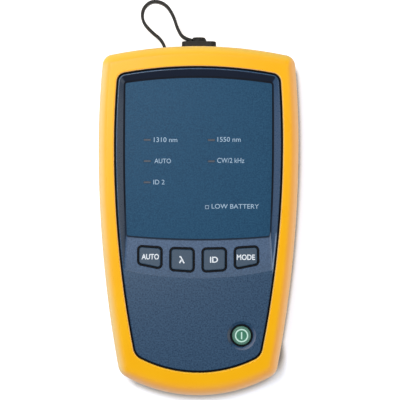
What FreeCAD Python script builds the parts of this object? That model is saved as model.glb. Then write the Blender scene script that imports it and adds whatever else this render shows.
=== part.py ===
import FreeCAD, Part
import math
import os
from types import SimpleNamespace

import Sketcher

# Handheld dual-wavelength optical light source in a rubber boot.
# It lies on its back: X across, Y along towards the fibre port, Z up through the face.
# Sizes are in millimetres. Plan radii and crests describe the egg-shaped outline of the boot.
SIZES = (
    # boot
    ("boot_half_width", 46.7),
    ("widest_y", 35.1),
    ("side_radius_upper", 411.0),
    ("side_radius_lower", 565.0),
    ("top_crest", 81.5),
    ("top_radius", 203.0),
    ("bottom_crest", 81.5),
    ("bottom_radius", 70.0),
    ("boot_corner", 5.2),
    ("boot_bottom_corner", 6.7),
    ("thickness", 38.0),
    ("boot_wall", 3.0),
    ("boot_fit", 0.15),
    ("front_lip", 2.6),
    ("back_lip", 2.2),
    ("rim_side", 7.5),
    ("rim_top", 9.7),
    ("rim_bottom", 11.0),
    ("opening_radius_lower", 490.0),
    ("opening_corner", 4.4),
    ("opening_bottom_corner", 6.7),
    ("front_edge_round", 4.0),
    ("back_edge_round", 3.0),
    ("rim_edge_round", 0.8),
    ("back_relief", 1.5),
    ("window_half_width", 19.0),
    ("window_margin", 1.8),
    # cases
    ("case_wall", 2.2),
    ("rear_depth", 23.6),
    ("front_gap", 0.7),
    ("front_drop", 0.6),
    ("face_edge_round", 0.4),
    ("tray_land", 0.6),
    ("tray_depth", 2.6),
    ("tray_wall", 2.0),
    ("tray_corner", 1.4),
    ("bevel_side", 3.2),
    ("bevel_top", 3.5),
    ("floor_radius_upper", 4000.0),
    ("floor_radius_lower", 900.0),
    ("floor_top_radius", 229.0),
    ("floor_bottom_radius", 368.0),
    ("deck_start", 8.9),
    ("deck_end", 26.7),
    ("deck_radius", 153.0),
    ("core_half_width", 22.0),
    ("core_end_gap", 21.5),
    ("core_deck_gap", 7.3),
    # face label and its indicators
    ("label_margin", 0.45),
    ("label_thickness", 0.4),
    ("guide_left_inset", 10.8),
    ("guide_right_x", 5.95),
    ("guide_row_gap", 29.4),
    ("guide_row_pitch", 9.9),
    ("guide_length", 3.2),
    ("guide_width", 0.8),
    ("battery_guide_x", 4.05),
    ("battery_guide_rise", 15.25),
    ("battery_guide_side", 1.5),
    ("guide_fit", 0.1),
    ("led_height", 0.8),
    ("led_gap", 0.2),
    # keys and power button
    ("key_pitch", 15.0),
    ("key_cell", 11.8),
    ("key_row_top", 12.56),
    ("key_row_bottom", 24.2),
    ("key_row_top_radius", 319.0),
    ("key_row_bottom_radius", 110.0),
    ("key_corner", 2.2),
    ("key_edge_round", 0.5),
    ("key_rise", 0.8),
    ("key_travel", 0.8),
    ("key_gap", 0.3),
    ("collar_wall", 0.65),
    ("collar_rise", 0.15),
    ("collar_fit", 0.1),
    ("power_x", 20.3),
    ("power_end_gap", 28.2),
    ("power_radius", 4.4),
    ("power_collar_wall", 0.5),
    ("power_rise", 0.75),
    ("power_edge_round", 0.6),
    ("dimple_radius", 6.7),
    ("dimple_depth", 0.9),
    ("mat_thickness", 1.0),
    ("mat_margin", 1.6),
    ("tongue_margin", 0.3),
    ("switch_height", 0.6),
    ("switch_radius", 2.2),
    ("switch_gap", 0.1),
    # board and bosses
    ("key_room", 4.8),
    ("board_thickness", 1.6),
    ("board_gap", 2.5),
    ("board_end_gap", 20.35),
    ("board_knee_y", 30.5),
    ("board_low_gap", 19.5),
    ("board_corner", 2.0),
    ("boss_radius", 3.2),
    ("boss_gap", 2.3),
    ("boss_end_gap", 12.35),
    ("boss_low_gap", 19.2),
    ("screw_radius", 1.3),
    ("screw_head_radius", 2.6),
    ("screw_head_height", 2.0),
    ("screw_grip", 6.0),
    ("screw_seat", 11.6),
    ("screw_fit", 0.12),
    ("head_fit", 0.4),
    ("counterbore_wall", 1.2),
    ("post_radius", 2.4),
    ("post_inset", 3.5),
    ("post_end_inset", 6.0),
    ("board_screw_grip", 3.6),
    # fibre port, dust cap and strap
    ("port_z", 18.5),
    ("adapter_width", 12.7),
    ("adapter_height", 9.3),
    ("adapter_corner", 1.0),
    ("adapter_fit", 0.15),
    ("nose_drop", 0.1),
    ("adapter_length", 19.4),
    ("socket_width", 9.0),
    ("socket_height", 7.4),
    ("socket_depth", 9.4),
    ("keyway_width", 2.6),
    ("keyway_height", 0.6),
    ("keyway_depth", 4.0),
    ("holder_radius", 2.4),
    ("holder_length", 4.6),
    ("sleeve_radius", 1.75),
    ("ferrule_radius", 1.25),
    ("sleeve_length", 8.6),
    ("sleeve_fit", 0.05),
    ("flange_width", 22.0),
    ("flange_height", 12.4),
    ("flange_thickness", 2.0),
    ("flange_seat", 0.45),
    ("flange_fit", 0.1),
    ("rib_thickness", 1.8),
    ("barrel_radius", 2.5),
    ("barrel_length", 6.0),
    ("cap_clearance", 0.35),
    ("cap_wall", 1.45),
    ("cap_back_gap", 0.45),
    ("cap_front", 3.2),
    ("cap_corner", 2.4),
    ("cap_edge_round", 0.7),
    ("neck_radius", 2.3),
    ("neck_length", 1.6),
    ("nub_radius", 3.0),
    ("nub_height", 0.6),
    ("nub_edge_round", 0.3),
    ("strap_thickness", 1.4),
    ("strap_width", 5.0),
    ("strap_slack", 0.1),
    ("eyelet_gap", 0.3),
    ("eyelet_wall", 0.9),
    ("strap_slot_gap", 0.3),
    ("strap_head_width", 3.6),
    ("strap_head_length", 1.2),
    # battery bay and door
    ("cell_diameter", 14.5),
    ("cell_length", 49.2),
    ("cell_nub_radius", 2.75),
    ("cell_nub_length", 1.3),
    ("cell_gap", 0.6),
    ("cell_clearance", 0.4),
    ("door_swing_room", 1.1),
    ("bay_end_gap", 20.5),
    ("bay_wall", 1.5),
    ("contact_room", 1.8),
    ("contact_plate", 0.5),
    ("contact_half_width", 5.0),
    ("contact_base_radius", 3.5),
    ("contact_tip_radius", 2.0),
    ("contact_gap", 0.1),
    ("door_thickness", 2.4),
    ("door_gap", 0.4),
    ("door_edge_round", 0.3),
    ("pin_radius", 0.7),
    ("pin_length", 1.1),
    ("pin_gap", 0.3),
    ("pin_inset", 1.6),
    ("pin_depth", 1.3),
    ("scoop_radius", 9.0),
    ("scoop_depth", 1.0),
    ("scoop_reach", 4.0),
    # laser modules, coupler and fibre leads
    ("laser_radius", 3.5),
    ("laser_length", 18.0),
    ("laser_ferrule_radius", 1.4),
    ("laser_ferrule_length", 5.0),
    ("laser_inset", 11.2),
    ("laser_end_gap", 28.0),
    ("mount_gap", 0.1),
    ("coupler_width", 8.0),
    ("coupler_corner", 1.0),
    ("coupler_length", 22.0),
    ("coupler_end_gap", 24.0),
    ("coupler_input_x", 1.6),
    ("lead_radius", 0.45),
    ("lead_end_gap", 0.05),
    ("lead_turn_gap", 4.0),
)

# Route of the strap's middle line in plan, from the nub of the dust cap to the end wall.
STRAP_ROUTE = (
    (-3.2, 85.75),
    (-7.4, 86.6),
    (-10.2, 91.0),
    (-12.2, 97.6),
    (-15.9, 103.2),
    (-22.3, 104.9),
    (-27.0, 100.9),
    (-27.1, 94.8),
    (-22.9, 89.9),
    (-17.4, 85.6),
    (-15.5, 79.6),
    (-15.4, 74.9),
)
ARC_SHARE = 0.45

document = FreeCAD.newDocument("light_source")
sheet = document.addObject("Spreadsheet::Sheet", "Dims")
for row, (alias, number) in enumerate(SIZES, start=1):
    sheet.set(f"A{row}", alias)
    sheet.set(f"B{row}", str(number))
    sheet.setAlias(f"B{row}", alias)
document.recompute()


class Size:
    """A length that carries its value and the sheet expression that gives it."""

    def __init__(self, value, text):
        self.value = value
        self.text = text

    def __add__(self, other):
        other = as_size(other)
        return Size(self.value + other.value, f"({self.text} + {other.text})")

    def __sub__(self, other):
        other = as_size(other)
        return Size(self.value - other.value, f"({self.text} - {other.text})")

    def __mul__(self, other):
        other = as_size(other)
        return Size(self.value * other.value, f"({self.text} * {other.text})")

    def __truediv__(self, other):
        other = as_size(other)
        return Size(self.value / other.value, f"({self.text} / {other.text})")

    def __neg__(self):
        return Size(-self.value, f"(0 - {self.text})")


def as_size(number):
    """A plain number as a size, and a size as itself."""
    return number if isinstance(number, Size) else Size(float(number), repr(number))


def root(size):
    """Square root of a size."""
    return Size(math.sqrt(size.value), f"sqrt({size.text})")


d = SimpleNamespace(**{alias: Size(float(sheet.get(alias)), f"Dims.{alias}") for alias, _ in SIZES})
ZERO = as_size(0)

# Levels through the thickness, from the back up.
back_z = d.back_lip + d.boot_fit
parting_z = back_z + d.rear_depth
front_z = d.thickness - d.front_drop
floor_z = front_z - d.tray_depth
ceiling_z = floor_z - d.tray_wall
flange_z = d.thickness - d.front_lip - d.boot_fit
board_top_z = ceiling_z - d.key_room
board_low_z = board_top_z - d.board_thickness
key_low_z = board_top_z + d.switch_height + d.key_travel + d.switch_gap
lead_z = board_low_z - d.mount_gap - d.laser_radius

# Places along the length, from the port end.
end_wall_y = d.top_crest - d.boot_wall - d.boot_fit
inner_wall_y = end_wall_y - d.case_wall
nose_y = d.top_crest - d.nose_drop
adapter_rear_y = nose_y - d.adapter_length
socket_floor_y = nose_y - d.socket_depth
holder_y = socket_floor_y + d.holder_length
flange_y = inner_wall_y - d.flange_seat
cap_back_y = end_wall_y + d.cap_back_gap
cap_inner_y = nose_y + d.cap_clearance
cap_front_y = cap_inner_y + d.cap_front
neck_y = cap_front_y + d.neck_length
board_top_y = end_wall_y - d.board_end_gap
laser_low_y = board_top_y - d.laser_end_gap
coupler_high_y = board_top_y - d.coupler_end_gap
coupler_low_y = coupler_high_y - d.coupler_length

# Battery bay, from the door in.
door_top_z = back_z + d.door_thickness
cell_low_z = door_top_z + d.door_swing_room
cell_z = cell_low_z + d.cell_diameter / 2
bay_top_z = cell_low_z + d.cell_diameter + d.cell_clearance
cell_x = d.cell_diameter / 2 + d.cell_gap / 2
bay_half_width = cell_x + d.cell_diameter / 2 + d.cell_clearance
bay_low_y = d.bay_end_gap - d.bottom_crest
cell_low_y = bay_low_y + d.contact_room
cell_high_y = cell_low_y + d.cell_length + d.cell_nub_length
bay_high_y = cell_high_y + d.contact_room

deck_slope = d.tray_depth / (d.deck_end - d.deck_start)


class Plan:
    """Geometry and rules of one sketch, with each dimension bound to the sheet."""

    def __init__(self, sketch):
        self.sketch = sketch
        self.rules = []

    def add(self, curve, construction=False):
        return self.sketch.addGeometry(curve, construction)

    def rule(self, *parts, size=None):
        values = parts if size is None else (*parts, size.value)
        self.rules.append((Sketcher.Constraint(*values), size))

    def pin(self, geometry, point, x, y):
        self.rule("DistanceX", geometry, point, size=x)
        self.rule("DistanceY", geometry, point, size=y)

    def close(self):
        first = self.sketch.ConstraintCount
        self.sketch.addConstraint([constraint for constraint, _ in self.rules])
        for index, (_, size) in enumerate(self.rules, start=first):
            if size is not None:
                self.sketch.setExpression(f"Constraints[{index}]", size.text)


START, END, CENTRE = range(1, 4)


def polygon(plan, corners, construction=False):
    """Closed run of straight edges through the given corners."""
    edges = []
    for (x, y), (next_x, next_y) in zip(corners, corners[1:] + corners[:1]):
        low = FreeCAD.Vector(x.value, y.value, 0)
        high = FreeCAD.Vector(next_x.value, next_y.value, 0)
        edges.append(plan.add(Part.LineSegment(low, high), construction))
    for edge, (x, y) in zip(edges, corners):
        plan.pin(edge, START, x, y)
    for edge, following in zip(edges, edges[1:] + edges[:1]):
        plan.rule("Coincident", edge, END, following, START)
    return edges


def rounded_polygon(plan, corners, radius):
    """Closed anticlockwise run of straight edges with an arc at each corner."""
    frame = polygon(plan, corners, True)
    points = [FreeCAD.Vector(x.value, y.value, 0) for x, y in corners]
    firsts, lasts, arcs = [], [], []
    for before, corner, after in zip(points[-1:] + points, points, points[1:] + points[:1]):
        back, ahead = (before - corner).normalize(), (after - corner).normalize()
        half = back.getAngle(ahead) / 2
        reach = radius.value / math.tan(half)
        centre = corner + (back + ahead).normalize() * (radius.value / math.sin(half))
        first, last = corner + back * reach, corner + ahead * reach
        begin, finish = (math.atan2(point.y - centre.y, point.x - centre.x) for point in (first, last))
        if finish < begin:
            finish += 2 * math.pi
        whole = Part.Circle(centre, FreeCAD.Vector(0, 0, 1), radius.value)
        arcs.append(plan.add(Part.ArcOfCircle(whole, begin, finish)))
        plan.rule("Radius", arcs[-1], size=radius)
        firsts.append(first)
        lasts.append(last)
    lines = [plan.add(Part.LineSegment(*ends)) for ends in zip(lasts, firsts[1:] + firsts[:1])]
    for line, edge in zip(lines, frame):
        plan.rule("PointOnObject", line, START, edge)
        plan.rule("PointOnObject", line, END, edge)
    for arc, before, after in zip(arcs, lines[-1:] + lines, lines):
        plan.rule("Tangent", before, END, arc, START)
        plan.rule("Tangent", arc, END, after, START)


def rectangle(plan, x_low, x_high, y_low, y_high, radius=None):
    """Plain rectangle, or one with rounded corners."""
    corners = [(x_low, y_low), (x_high, y_low), (x_high, y_high), (x_low, y_high)]
    if radius is None:
        polygon(plan, corners)
    else:
        rounded_polygon(plan, corners, radius)


def circle(plan, x, y, radius):
    centre = FreeCAD.Vector(x.value, y.value, 0)
    edge = plan.add(Part.Circle(centre, FreeCAD.Vector(0, 0, 1), radius.value))
    plan.pin(edge, CENTRE, x, y)
    plan.rule("Radius", edge, size=radius)


def egg(half_width, upper, lower, top, top_radius, bottom, bottom_radius, top_corner, bottom_corner):
    """Egg-shaped outline: two arcs a side, one across each end, and rounded corners."""
    return SimpleNamespace(
        half_width=half_width,
        upper=upper,
        lower=lower,
        top=top,
        top_radius=top_radius,
        bottom=bottom,
        bottom_radius=bottom_radius,
        top_corner=top_corner,
        bottom_corner=bottom_corner,
    )


def inset(outline, side, top, bottom, top_corner, bottom_corner):
    """The outline moved in by an amount at the sides, the top and the bottom."""
    return egg(
        outline.half_width - side,
        outline.upper - side,
        outline.lower - side,
        outline.top - top,
        outline.top_radius - top,
        outline.bottom - bottom,
        outline.bottom_radius - bottom,
        top_corner,
        bottom_corner,
    )


def side_x(outline, y):
    """Half width of an outline at a place along its length."""
    radius = outline.upper if y.value >= d.widest_y.value else outline.lower
    rise = y - d.widest_y
    return outline.half_width - radius + root(radius * radius - rise * rise)


def crossing(first, first_radius, second, second_radius, near):
    """The crossing of two circles that lies nearer to a given point."""
    gap = second - first
    along = (gap.Length ** 2 + first_radius ** 2 - second_radius ** 2) / (2 * gap.Length)
    across = math.sqrt(first_radius ** 2 - along ** 2)
    unit = gap / gap.Length
    foot = first + unit * along
    normal = FreeCAD.Vector(-unit.y, unit.x, 0)
    return min((foot + normal * across, foot - normal * across), key=near.distanceToPoint)


def draw_egg(plan, outline):
    """Draws an outline anticlockwise from its lower right corner."""
    side_centres = {
        "upper": outline.half_width - outline.upper,
        "lower": outline.half_width - outline.lower,
    }
    main = [
        (side_centres["lower"], d.widest_y, outline.lower),
        (side_centres["upper"], d.widest_y, outline.upper),
        (ZERO, outline.top - outline.top_radius, outline.top_radius),
        (-side_centres["upper"], d.widest_y, outline.upper),
        (-side_centres["lower"], d.widest_y, outline.lower),
        (ZERO, outline.bottom_radius - outline.bottom, outline.bottom_radius),
    ]
    centres = [FreeCAD.Vector(x.value, y.value, 0) for x, y, _ in main]
    radii = [radius.value for _, _, radius in main]
    # Corner arcs sit between these pairs of main arcs, each near a corner of the box.
    half, top, bottom = outline.half_width.value, outline.top.value, -outline.bottom.value
    corners = [
        (5, 0, outline.bottom_corner, FreeCAD.Vector(half, bottom, 0)),
        (1, 2, outline.top_corner, FreeCAD.Vector(half, top, 0)),
        (2, 3, outline.top_corner, FreeCAD.Vector(-half, top, 0)),
        (4, 5, outline.bottom_corner, FreeCAD.Vector(-half, bottom, 0)),
    ]
    starts, ends, rounds = {}, {}, []
    for before, after, corner, near in corners:
        size = corner.value
        centre = crossing(centres[before], radii[before] - size, centres[after], radii[after] - size, near)
        angles = []
        for index in (before, after):
            offset = centre - centres[index]
            angles.append(math.atan2(offset.y, offset.x))
        ends[before], starts[after] = angles
        rounds.append((before, after, corner, centre, angles))
    starts[1], ends[0] = 0.0, 0.0
    starts[4], ends[3] = math.pi, math.pi
    drawn = []
    for index, (x, y, radius) in enumerate(main):
        begin, finish = starts[index], ends[index]
        if finish < begin:
            finish += 2 * math.pi
        whole = Part.Circle(centres[index], FreeCAD.Vector(0, 0, 1), radii[index])
        edge = plan.add(Part.ArcOfCircle(whole, begin, finish))
        plan.pin(edge, CENTRE, x, y)
        plan.rule("Radius", edge, size=radius)
        drawn.append(edge)
    for edge, point in ((0, END), (1, START), (3, END), (4, START)):
        plan.rule("DistanceY", drawn[edge], point, size=d.widest_y)
    for before, after, corner, centre, (begin, finish) in rounds:
        if finish < begin:
            finish += 2 * math.pi
        whole = Part.Circle(centre, FreeCAD.Vector(0, 0, 1), corner.value)
        edge = plan.add(Part.ArcOfCircle(whole, begin, finish))
        plan.rule("Radius", edge, size=corner)
        plan.rule("Tangent", drawn[before], END, edge, START)
        plan.rule("Tangent", edge, END, drawn[after], START)


# Outlines shared by the boot, the cases and the label.
boot_outline = egg(
    d.boot_half_width,
    d.side_radius_upper,
    d.side_radius_lower,
    d.top_crest,
    d.top_radius,
    d.bottom_crest,
    d.bottom_radius,
    d.boot_corner,
    d.boot_bottom_corner,
)


def parallel(outline, amount):
    """The outline moved in evenly, corners too."""
    return inset(outline, amount, amount, amount, outline.top_corner - amount, outline.bottom_corner - amount)


boot_cavity = parallel(boot_outline, d.boot_wall)
case_outline = parallel(boot_cavity, d.boot_fit)
case_cavity = inset(
    case_outline, d.case_wall, d.case_wall, d.case_wall, d.tray_corner, d.tray_corner
)
boot_opening = inset(
    boot_outline, d.rim_side, d.rim_top, d.rim_bottom, d.opening_corner, d.opening_bottom_corner
)
boot_opening.lower = d.opening_radius_lower
back_opening = parallel(boot_opening, -d.back_relief)
face_outline = parallel(boot_opening, d.front_gap)
tray_rim = inset(
    face_outline, d.tray_land, d.tray_land, ZERO, face_outline.top_corner - d.tray_land, d.tray_corner
)
tray_rim.bottom = d.deck_end
tray_rim.bottom_radius = d.deck_radius
tray_floor = egg(
    tray_rim.half_width - d.bevel_side,
    d.floor_radius_upper,
    d.floor_radius_lower,
    tray_rim.top - d.bevel_top,
    d.floor_top_radius,
    d.deck_start,
    d.floor_bottom_radius,
    d.tray_corner,
    d.tray_corner,
)
label_outline = parallel(tray_floor, d.label_margin)

# Screw bosses of the case and posts of the board follow the cavity wall.
boss_top_y = end_wall_y - d.boss_end_gap
boss_low_y = d.boss_low_gap - d.bottom_crest
boss_places = [
    (side_x(case_cavity, boss_top_y) - d.boss_radius - d.boss_gap, boss_top_y),
    (side_x(case_cavity, boss_low_y) - d.boss_radius - d.boss_gap, boss_low_y),
]
boss_places += [(-x, y) for x, y in boss_places]
board_low_y = d.board_low_gap - d.bottom_crest
board_knee_y = -d.board_knee_y
board_half_width = side_x(case_cavity, board_knee_y) - d.board_gap
board_low_half_width = boss_places[1][0] - d.boss_radius - d.board_gap
post_x = board_half_width - d.post_inset
laser_x = board_half_width - d.laser_inset
post_places = [(post_x, board_top_y - d.post_end_inset), (post_x, board_knee_y)]
post_places += [(-x, y) for x, y in post_places]

power_y = d.power_end_gap - d.bottom_crest
guide_left_x = d.guide_left_inset - tray_floor.half_width
guide_rows = [tray_floor.top - d.guide_row_gap - d.guide_row_pitch * row for row in range(3)]
guide_spots = [(guide_left_x, y) for y in guide_rows]
guide_spots += [(d.guide_right_x, y) for y in guide_rows[:2]]
guides = [(x, y, d.guide_length, d.guide_width) for x, y in guide_spots]
battery_guide_y = d.battery_guide_rise - d.deck_start
guides.append((d.battery_guide_x, battery_guide_y, d.battery_guide_side, d.battery_guide_side))

sub_parts = []


def new_body(label):
    body = document.addObject("PartDesign::Body", label)
    body.Label = label
    sub_parts.append(body)
    return body


# Sketch planes: the sign of the plane's normal along its own axis.
NORMALS = {"XY_Plane": 1, "XZ_Plane": -1, "YZ_Plane": 1}


def new_sketch(body, plane, level, draw):
    """A sketch on one of the body's own planes, lifted to a level, drawn by a function."""
    sketch = body.newObject("Sketcher::SketchObject", "Sketch")
    support = next(item for item in body.Origin.OriginFeatures if item.Role == plane)
    sketch.AttachmentSupport = [(support, "")]
    sketch.MapMode = "FlatFace"
    lift = level if NORMALS[plane] > 0 else -level
    sketch.setExpression("AttachmentOffset.Base.z", lift.text)
    plan = Plan(sketch)
    draw(plan)
    plan.close()
    return sketch


def pad(body, draw, low, high, plane="XY_Plane"):
    """Adds the drawn shape between two levels along the plane's axis."""
    base = low if NORMALS[plane] > 0 else high
    sketch = new_sketch(body, plane, base, draw)
    feature = body.newObject("PartDesign::Pad", "Pad")
    feature.Profile = sketch
    feature.setExpression("Length", (high - low).text)
    document.recompute()


def cut(body, draw, low, high, plane="XY_Plane"):
    """Removes the drawn shape between two levels along the plane's axis."""
    base = high if NORMALS[plane] > 0 else low
    before = body.Shape.Volume
    sketch = new_sketch(body, plane, base, draw)
    feature = body.newObject("PartDesign::Pocket", "Pocket")
    feature.Profile = sketch
    feature.setExpression("Length", (high - low).text)
    document.recompute()
    if body.Shape.Volume >= before:
        raise ValueError(f"{body.Label}: a pocket removed nothing")


def fillet(body, names, radius):
    """Rounds the named edges or faces of the body as it stands."""
    feature = body.newObject("PartDesign::Fillet", "Fillet")
    feature.Base = (feature.BaseFeature, names)
    feature.setExpression("Radius", radius.text)
    document.recompute()


CLOSE = 0.01


def edges_at_level(shape, level):
    """Names of the edges that lie wholly at one height."""
    names = []
    for number, edge in enumerate(shape.Edges, start=1):
        box = edge.BoundBox
        if abs(box.ZMin - level.value) < CLOSE and abs(box.ZMax - level.value) < CLOSE:
            names.append(f"Edge{number}")
    return names


def inner_edges_at_level(shape, level):
    """Names of the edges of the holes in the flat face at one height."""
    names = []
    for face in shape.Faces:
        box = face.BoundBox
        if abs(box.ZMin - level.value) > CLOSE or abs(box.ZMax - level.value) > CLOSE:
            continue
        inner = [edge for wire in face.Wires if not wire.isSame(face.OuterWire) for edge in wire.Edges]
        for number, edge in enumerate(shape.Edges, start=1):
            if any(edge.isSame(other) for other in inner):
                names.append(f"Edge{number}")
    return names


def end_face(shape, axis, sign):
    """Name of the face that reaches furthest along an axis."""
    reach = [face.CenterOfMass[axis] * sign for face in shape.Faces]
    return f"Face{reach.index(max(reach)) + 1}"


def place(item, x, y, z):
    """Binds an object's place to the sheet."""
    for axis, size in zip("xyz", (x, y, z)):
        item.setExpression(f"Placement.Base.{axis}", size.text)


def box(x_low, x_high, y_low, y_high, z_low, z_high):
    item = document.addObject("Part::Box", "Box")
    item.setExpression("Length", (x_high - x_low).text)
    item.setExpression("Width", (y_high - y_low).text)
    item.setExpression("Height", (z_high - z_low).text)
    place(item, x_low, y_low, z_low)
    return item


Z_UP = FreeCAD.Rotation()
Y_UP = FreeCAD.Rotation(FreeCAD.Vector(1, 0, 0), -90)
Y_DOWN = FreeCAD.Rotation(FreeCAD.Vector(1, 0, 0), 90)


def cylinder(x, y, z, radius, length, turn=Z_UP):
    item = document.addObject("Part::Cylinder", "Cylinder")
    item.Placement = FreeCAD.Placement(FreeCAD.Vector(), turn)
    item.setExpression("Radius", radius.text)
    item.setExpression("Height", length.text)
    place(item, x, y, z)
    return item


def cone(x, y, z, low_radius, high_radius, length, turn=Z_UP):
    item = document.addObject("Part::Cone", "Cone")
    item.Placement = FreeCAD.Placement(FreeCAD.Vector(), turn)
    item.setExpression("Radius1", low_radius.text)
    item.setExpression("Radius2", high_radius.text)
    item.setExpression("Height", length.text)
    place(item, x, y, z)
    return item


def joined(items, label=None):
    """One solid made of pieces that meet."""
    item = document.addObject("Part::MultiFuse", label or "Joined")
    item.Shapes = items
    item.Refine = True
    if label:
        item.Label = label
        sub_parts.append(item)
    return item


def group(items, label):
    """Separate like solids under one name."""
    item = document.addObject("Part::Compound", label)
    item.Links = items
    item.Label = label
    sub_parts.append(item)
    return item


def make_rubber_boot():
    """Stretched-on boot with a front opening, a back opening and an end window."""
    body = new_body("rubber_boot")
    pad(body, lambda plan: draw_egg(plan, boot_outline), ZERO, d.thickness)
    fillet(body, edges_at_level(body.Shape, d.thickness), d.front_edge_round)
    fillet(body, edges_at_level(body.Shape, ZERO), d.back_edge_round)
    lip_z = d.thickness - d.front_lip
    cut(body, lambda plan: draw_egg(plan, boot_cavity), d.back_lip, lip_z)
    cut(body, lambda plan: draw_egg(plan, boot_opening), lip_z, d.thickness)
    fillet(body, inner_edges_at_level(body.Shape, d.thickness), d.rim_edge_round)
    cut(body, lambda plan: draw_egg(plan, back_opening), ZERO, d.back_lip)
    fillet(body, inner_edges_at_level(body.Shape, ZERO), d.rim_edge_round)
    reach = d.adapter_height / 2 + d.cap_clearance + d.cap_wall + d.window_margin
    half = d.window_half_width

    def window(plan):
        rectangle(plan, -half, half, d.port_z - reach, d.port_z + reach, d.cap_corner)

    cut(body, window, inner_wall_y, d.top_crest, "XZ_Plane")


def key_corners(index, amount):
    """Corners of one key cell, moved in by an amount."""
    middle = d.key_pitch * (index - 1.5)
    half = d.key_cell / 2 - amount
    left, right = middle - half, middle + half
    row_top = [x * x / (d.key_row_top_radius * 2) - d.key_row_top - amount for x in (left, right)]
    row_low = [x * x / (d.key_row_bottom_radius * 2) - d.key_row_bottom + amount for x in (left, right)]
    return [(left, row_low[0]), (right, row_low[1]), (right, row_top[1]), (left, row_top[0])]


def key_shape(make, body, index, amount, low, high):
    """Adds or cuts the rounded shape of one key cell, moved in by an amount."""
    corners = key_corners(index, amount)
    make(body, lambda plan: rounded_polygon(plan, corners, d.key_corner - amount), low, high)


def above_deck(plan, rise):
    """Side view of everything that stands higher than the sloping deck by more than a rise."""
    near, far = ZERO, -d.deck_end - d.tray_depth
    near_z = floor_z + rise - d.deck_start * deck_slope
    far_z = near_z - far * deck_slope
    high = d.thickness * 2
    polygon(plan, [(far, far_z), (near, near_z), (near, high), (far, high)])


def make_front_case():
    """Face moulding: flange under the boot's lip, raised face, tray with a rising key deck."""
    body = new_body("front_case")
    pad(body, lambda plan: draw_egg(plan, case_outline), parting_z, flange_z)
    pad(body, lambda plan: draw_egg(plan, face_outline), flange_z, front_z)
    fillet(body, edges_at_level(body.Shape, front_z), d.face_edge_round)
    cut(body, lambda plan: draw_egg(plan, case_cavity), parting_z, ceiling_z)
    core = d.core_half_width
    core_z = front_z - d.tray_wall
    core_low_y = d.core_end_gap - d.bottom_crest
    core_high_y = -d.deck_end - d.core_deck_gap
    cut(body, lambda plan: rectangle(plan, -core, core, core_low_y, core_high_y), ceiling_z, core_z)
    floor = new_sketch(body, "XY_Plane", floor_z, lambda plan: draw_egg(plan, tray_floor))
    rim = new_sketch(body, "XY_Plane", front_z, lambda plan: draw_egg(plan, tray_rim))
    tray = body.newObject("PartDesign::SubtractiveLoft", "Tray")
    tray.Profile = floor
    tray.Sections = [rim]
    tray.Ruled = True
    document.recompute()

    for index in range(4):
        key_shape(cut, body, index, -d.collar_fit, ceiling_z, front_z)

    def guide_slots(plan):
        for x, y, length, width in guides:
            half, tall = length / 2 + d.guide_fit, width / 2 + d.guide_fit
            rectangle(plan, x - half, x + half, y - tall, y + tall)

    cut(body, guide_slots, ceiling_z, floor_z)

    collar = d.power_radius + d.key_gap + d.power_collar_wall + d.collar_fit
    cut(body, lambda plan: circle(plan, d.power_x, power_y, collar), ceiling_z, front_z)
    dimple = body.newObject("PartDesign::SubtractiveCone", "Dimple")
    support = next(item for item in body.Origin.OriginFeatures if item.Role == "XY_Plane")
    dimple.AttachmentSupport = [(support, "")]
    dimple.MapMode = "FlatFace"
    for axis, size in zip("xyz", (d.power_x, power_y, front_z - d.dimple_depth)):
        dimple.setExpression(f"AttachmentOffset.Base.{axis}", size.text)
    dimple.setExpression("Radius1", collar.text)
    dimple.setExpression("Radius2", d.dimple_radius.text)
    dimple.setExpression("Height", d.dimple_depth.text)
    document.recompute()

    def bosses(plan):
        for x, y in boss_places:
            circle(plan, x, y, d.boss_radius)

    def posts(plan):
        for x, y in post_places:
            circle(plan, x, y, d.post_radius)

    def holes(plan, places):
        for x, y in places:
            circle(plan, x, y, d.screw_radius + d.screw_fit)

    pad(body, bosses, parting_z, ceiling_z)
    pad(body, posts, board_top_z, ceiling_z)
    cut(body, lambda plan: holes(plan, boss_places), parting_z, parting_z + d.screw_grip + d.screw_fit)
    cut(body, lambda plan: holes(plan, post_places), board_top_z, board_top_z + d.board_screw_grip)


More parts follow.
